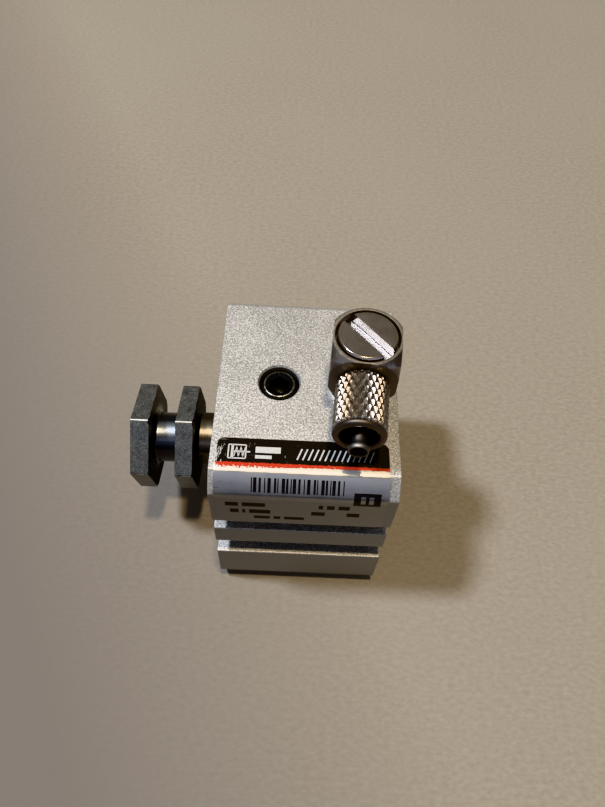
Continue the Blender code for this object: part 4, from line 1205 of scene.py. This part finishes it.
def make_barb(material):
    """The barbed stem in the outlet: a fine thread for the nut, a slim stem and a flared, open tip."""
    thread, pitch, depth, shoulder = 2.38 * MM, 0.5 * MM, 0.24 * MM, 3.95
    profile = mm((3.3, 0.5), (3.3, 1.5), (3.4, 1.55), (shoulder, 1.55), (shoulder, 2.18))
    profile += [(d, thread) for d in spaced((shoulder + 0.15) * MM, 7.3 * MM, 72)]
    profile += mm(
        *((7.45, 2.13), (7.8, 1.15), (8.3, 0.90), (9.2, 0.77), (10.6, 0.75), (11.6, 0.76), (11.9, 0.83)),
        *((12.1, 0.98), (12.24, 1.13), (12.38, 1.19), (12.6, 1.17), (12.74, 1.13), (12.8, 1.07)),
        *((12.8, 0.98), (12.76, 0.92), (12.6, 0.89), (12.4, 0.84), (12.15, 0.62), (11.9, 0.52)),
    )

    def shape(distance, radius, angle):
        if abs(radius - thread) > TINY:
            return radius
        phase = (distance / pitch + angle / TURN) % 1.0
        return thread - depth * abs(2 * phase - 1)

    # Painted shade: dark inside the bore and the tip, and on the tip's rim.
    def painted_shade(distance, radius, angle):
        if distance < 12.2 * MM:
            return 1.0 if radius < 0.65 * MM else 0.0
        return 1.0 if radius < 0.95 * MM else 0.72

    bm = turned(OUTLET_AXIS, profile, 96, shape, 0.0, painted_shade, "painted_shade")
    finished("barb_stem", bm, "elbow", material, "hose_barb", 34)


def make_nut(material):
    """The nut: a diamond knurl of crossing V grooves, a plain tapered lip in front, and a threaded bore."""
    back, thread = 4.0, 2.46
    knurl_low, knurl_high = (back + 0.08) * MM, 10.4 * MM
    end_length, end_depth = 0.22 * MM, 0.14 * MM

    def groove(turns):
        """Depth of one set of V grooves: 0 on a crest, 1 in a groove's bottom."""
        return 1.0 - abs((turns % 1.0) - 0.5) * 2

    def shape(distance, radius, angle):
        if radius < NUT_RADIUS - TINY:
            return radius
        turns = KNURL_COUNT * angle / TURN
        along = distance / KNURL_LENGTH
        cut = max(groove(turns + along + 0.5), groove(turns - along + 0.5)) ** KNURL_CROWN
        ends = min(distance - knurl_low, knurl_high - distance) / end_length
        taper = end_depth * (1 - min(1.0, max(0.0, ends)))
        return radius - KNURL_DEPTH * cut - taper

    # Painted shade: darkest in the bore, dark in the knurl's grooves and on the lip, lighter on the back
    # face.
    def painted_shade(distance, radius, angle):
        if radius < 2.3 * MM and distance < 10.75 * MM:
            return 1.0
        if distance > knurl_high:
            return 0.78
        deep = (NUT_RADIUS - radius) / KNURL_DEPTH
        return 0.8 * min(1.0, max(0.0, deep - 0.5) / 0.5) if distance >= knurl_low else 0.3

    profile = mm((back, thread + 0.06), (back, 2.72))
    profile += [(d, NUT_RADIUS) for d in spaced(knurl_low, knurl_high, 190)]
    profile += mm(
        *((10.44, 2.90), (10.50, 2.98), (10.60, 3.02), (10.74, 3.01), (10.86, 2.96), (10.96, 2.88)),
        *((11.04, 2.77), (11.09, 2.64), (11.1, 2.50), (11.08, 2.38), (11.02, 2.29), (10.92, 2.23)),
        *((10.78, 2.20), (10.4, 2.20), (7.9, 2.20), (7.6, thread)),
    )
    bm = turned(OUTLET_AXIS, profile, 480, shape, 0.0, painted_shade, "painted_shade")
    finished("knurled_cap_nut", bm, "nut", material, "knurled_nut", 40, False)


# -------------------- stage and camera

CAMERA_AT = Vector((-12.8, -47.5, 81.7)) * MM
CAMERA_AZIMUTH = math.radians(1.6)
CAMERA_ELEVATION = math.radians(56.45)
CAMERA_ROLL = math.radians(4.0)
CAMERA_LENS = 29.8
ROOM_BACK = (0.05, 0.80, 0.60)


def make_camera():
    data = bpy.data.cameras.new("camera")
    data.sensor_width = 36
    data.lens = CAMERA_LENS
    data.clip_start = 0.005
    data.clip_end = 20
    camera = bpy.data.objects.new("camera", data)
    bpy.context.scene.collection.objects.link(camera)
    level = math.cos(CAMERA_ELEVATION)
    ahead = Vector((math.sin(CAMERA_AZIMUTH), math.cos(CAMERA_AZIMUTH), 0))
    look = ahead * level - Z_DIR * math.sin(CAMERA_ELEVATION)
    right = look.cross(Z_DIR).normalized()
    up = right.cross(look)
    rolled_right = math.cos(CAMERA_ROLL) * right + math.sin(CAMERA_ROLL) * up
    rolled_up = rolled_right.cross(look)
    turn = Matrix((rolled_right, rolled_up, -look)).transposed()
    camera.matrix_world = Matrix.Translation(CAMERA_AT) @ turn.to_4x4()
    bpy.context.scene.camera = camera


def make_light(name, at, aim, size, power, colour):
    data = bpy.data.lights.new(name, "AREA")
    data.shape = "DISK"
    data.size = size
    data.energy = power
    data.color = colour
    light = bpy.data.objects.new(name, data)
    bpy.context.scene.collection.objects.link(light)
    light.location = at
    light.rotation_euler = (Vector(aim) - Vector(at)).to_track_quat("-Z", "Y").to_euler()


def make_world():
    """A dim room: a cool, bright band in front of the object, and a fainter warm tone above and behind it."""
    world = bpy.data.worlds.new("soft_room")
    bpy.context.scene.world = world
    world.use_nodes = True
    tree = world.node_tree
    background = tree.nodes["Background"]
    kinds = ("TexCoord", "VectorMath", "MapRange", "ValToRGB")
    where, towards, span, ramp = [tree.nodes.new("ShaderNode" + kind) for kind in kinds]
    towards.operation = "DOT_PRODUCT"
    towards.inputs[1].default_value = ROOM_BACK
    span.inputs["From Min"].default_value = -1.0
    tree.links.new(where.outputs["Generated"], towards.inputs[0])
    tree.links.new(towards.outputs["Value"], span.inputs["Value"])
    tree.links.new(span.outputs["Result"], ramp.inputs[0])
    tree.links.new(ramp.outputs[0], background.inputs[0])
    bands = (
        (0.18, (0.05, 0.05, 0.052, 1)),
        (0.34, (0.56, 0.58, 0.68, 1)),
        (0.52, (0.06, 0.058, 0.056, 1)),
        (0.95, (0.25, 0.235, 0.21, 1)),
    )
    stops = ramp.color_ramp.elements
    stops[0].position, stops[1].position = bands[0][0], bands[-1][0]
    for position, _ in bands[1:-1]:
        stops.new(position)
    for stop, (_, colour) in zip(stops, bands):
        stop.color = colour
    background.inputs[1].default_value = 1.0


def floor_finish():
    """A pale, warm-grey painted top with a very fine grain across it, and a painted shadow darkening it
    towards the left.
    """
    f = Finish("pale_floor", Metallic=0.0, Specular_IOR_Level=0.08)
    grain = f.grain(1.8, 4.0, 0.6, (0.6, 1, 1))
    cloud = f.grain(0.02, 3.0, 0.5)
    spot = f.parts(f.spot())
    # Painted shadow: the floor darkens towards the left and the front.
    painted_shadow = f.span(f.plus(spot["X"], f.times(spot["Y"], 0.5)), -0.060, -0.008, 0.9, 0.0)
    tone = f.mix(f.span(grain, 0.3, 0.7), (0.272, 0.247, 0.209), (0.352, 0.322, 0.278))
    tone = f.mix(f.span(cloud, 0.35, 0.65, 0.0, 0.35), tone, (0.335, 0.31, 0.272))
    return f.done(
        f.mix(painted_shadow, tone, (0.185, 0.172, 0.168)),
        f.span(grain, 0.3, 0.7, 0.62, 0.75),
        f.bump(grain, 0.22, 0.04),
    )


def make_stage():
    reach, drop = 3.0, 0.02 * MM
    bm = bmesh.new()
    bmesh.ops.create_grid(bm, x_segments=8, y_segments=8, size=reach)
    floor = placed("floor", bm)
    floor.data.materials.append(floor_finish())
    floor.location.z = FLOOR_Z - drop
    make_world()
    middle = (-0.012, 0, 0)
    make_light("window_left", (-0.50, 0.045, 0.98), middle, 0.12, 9.6, (0.90, 0.94, 1.0))
    make_light("lamp_above", (0.025, -0.078, 1.20), middle, 0.085, 7.9, (1.0, 0.78, 0.50))


def main():
    bpy.context.scene.view_settings.view_transform = "Khronos PBR Neutral"
    rim = TOP_Z + 9.74 * MM
    block_tones = (0.33, 0.30, 0.275), (0.43, 0.395, 0.365)
    screw_tones = (0.48, 0.43, 0.39), (0.62, 0.57, 0.53)
    nut_tones = (0.46, 0.41, 0.37), (0.58, 0.53, 0.49)
    # Pale tones for the barb, so that the painted sheen gives its stem a highlight.
    barb_painted_sheen_tones = (0.88, 0.89, 0.91), (0.94, 0.95, 0.96)
    barb_marks_and_painted_sheen = {"turned_about": OUTLET_AXIS, "painted_sheen_dir": PAINTED_STEM_SHEEN_DIR}
    block_nickel = nickel_finish("nickel_block", (0.28, 0.38), *block_tones, worn_above=rim)
    screw_nickel = nickel_finish("nickel_screw", (0.15, 0.22), *screw_tones, turned_about=SCREW_AXIS)
    nut_nickel = nickel_finish("nickel_nut", (0.24, 0.32), *nut_tones)
    barb_nickel = nickel_finish("nickel_barb", (0.30, 0.36), *barb_painted_sheen_tones, **barb_marks_and_painted_sheen)
    rubber = rubber_finish()
    steel = machined_finish("stainless_ring", (0.66, 0.64, 0.6), (0.5, 0.48, 0.45), 0.24, (1, 1, 4))
    aluminium = machined_finish("turned_aluminium", (0.62, 0.61, 0.59), (0.5, 0.49, 0.47), 0.34, (3, 1, 1))
    make_body(anodised_finish())
    make_bore_parts(aluminium, rubber, phosphate_finish(), wire_finish())
    make_piston(aluminium, rubber, rod_finish())
    make_coupling(blackened_finish())
    make_plug(socket_finish())
    make_plate(
        foil_finish(),
        ink_finish("white_ink", (0.62, 0.63, 0.65), (0.48, 0.49, 0.5), 0.4),
        ink_finish("black_ink", (0.008, 0.008, 0.010), (0.022, 0.021, 0.022), 0.5),
    )
    make_elbow(block_nickel)
    make_screw(screw_nickel)
    make_washers(steel, rubber)
    make_barb(barb_nickel)
    make_nut(nut_nickel)
    make_stage()
    make_camera()


main()
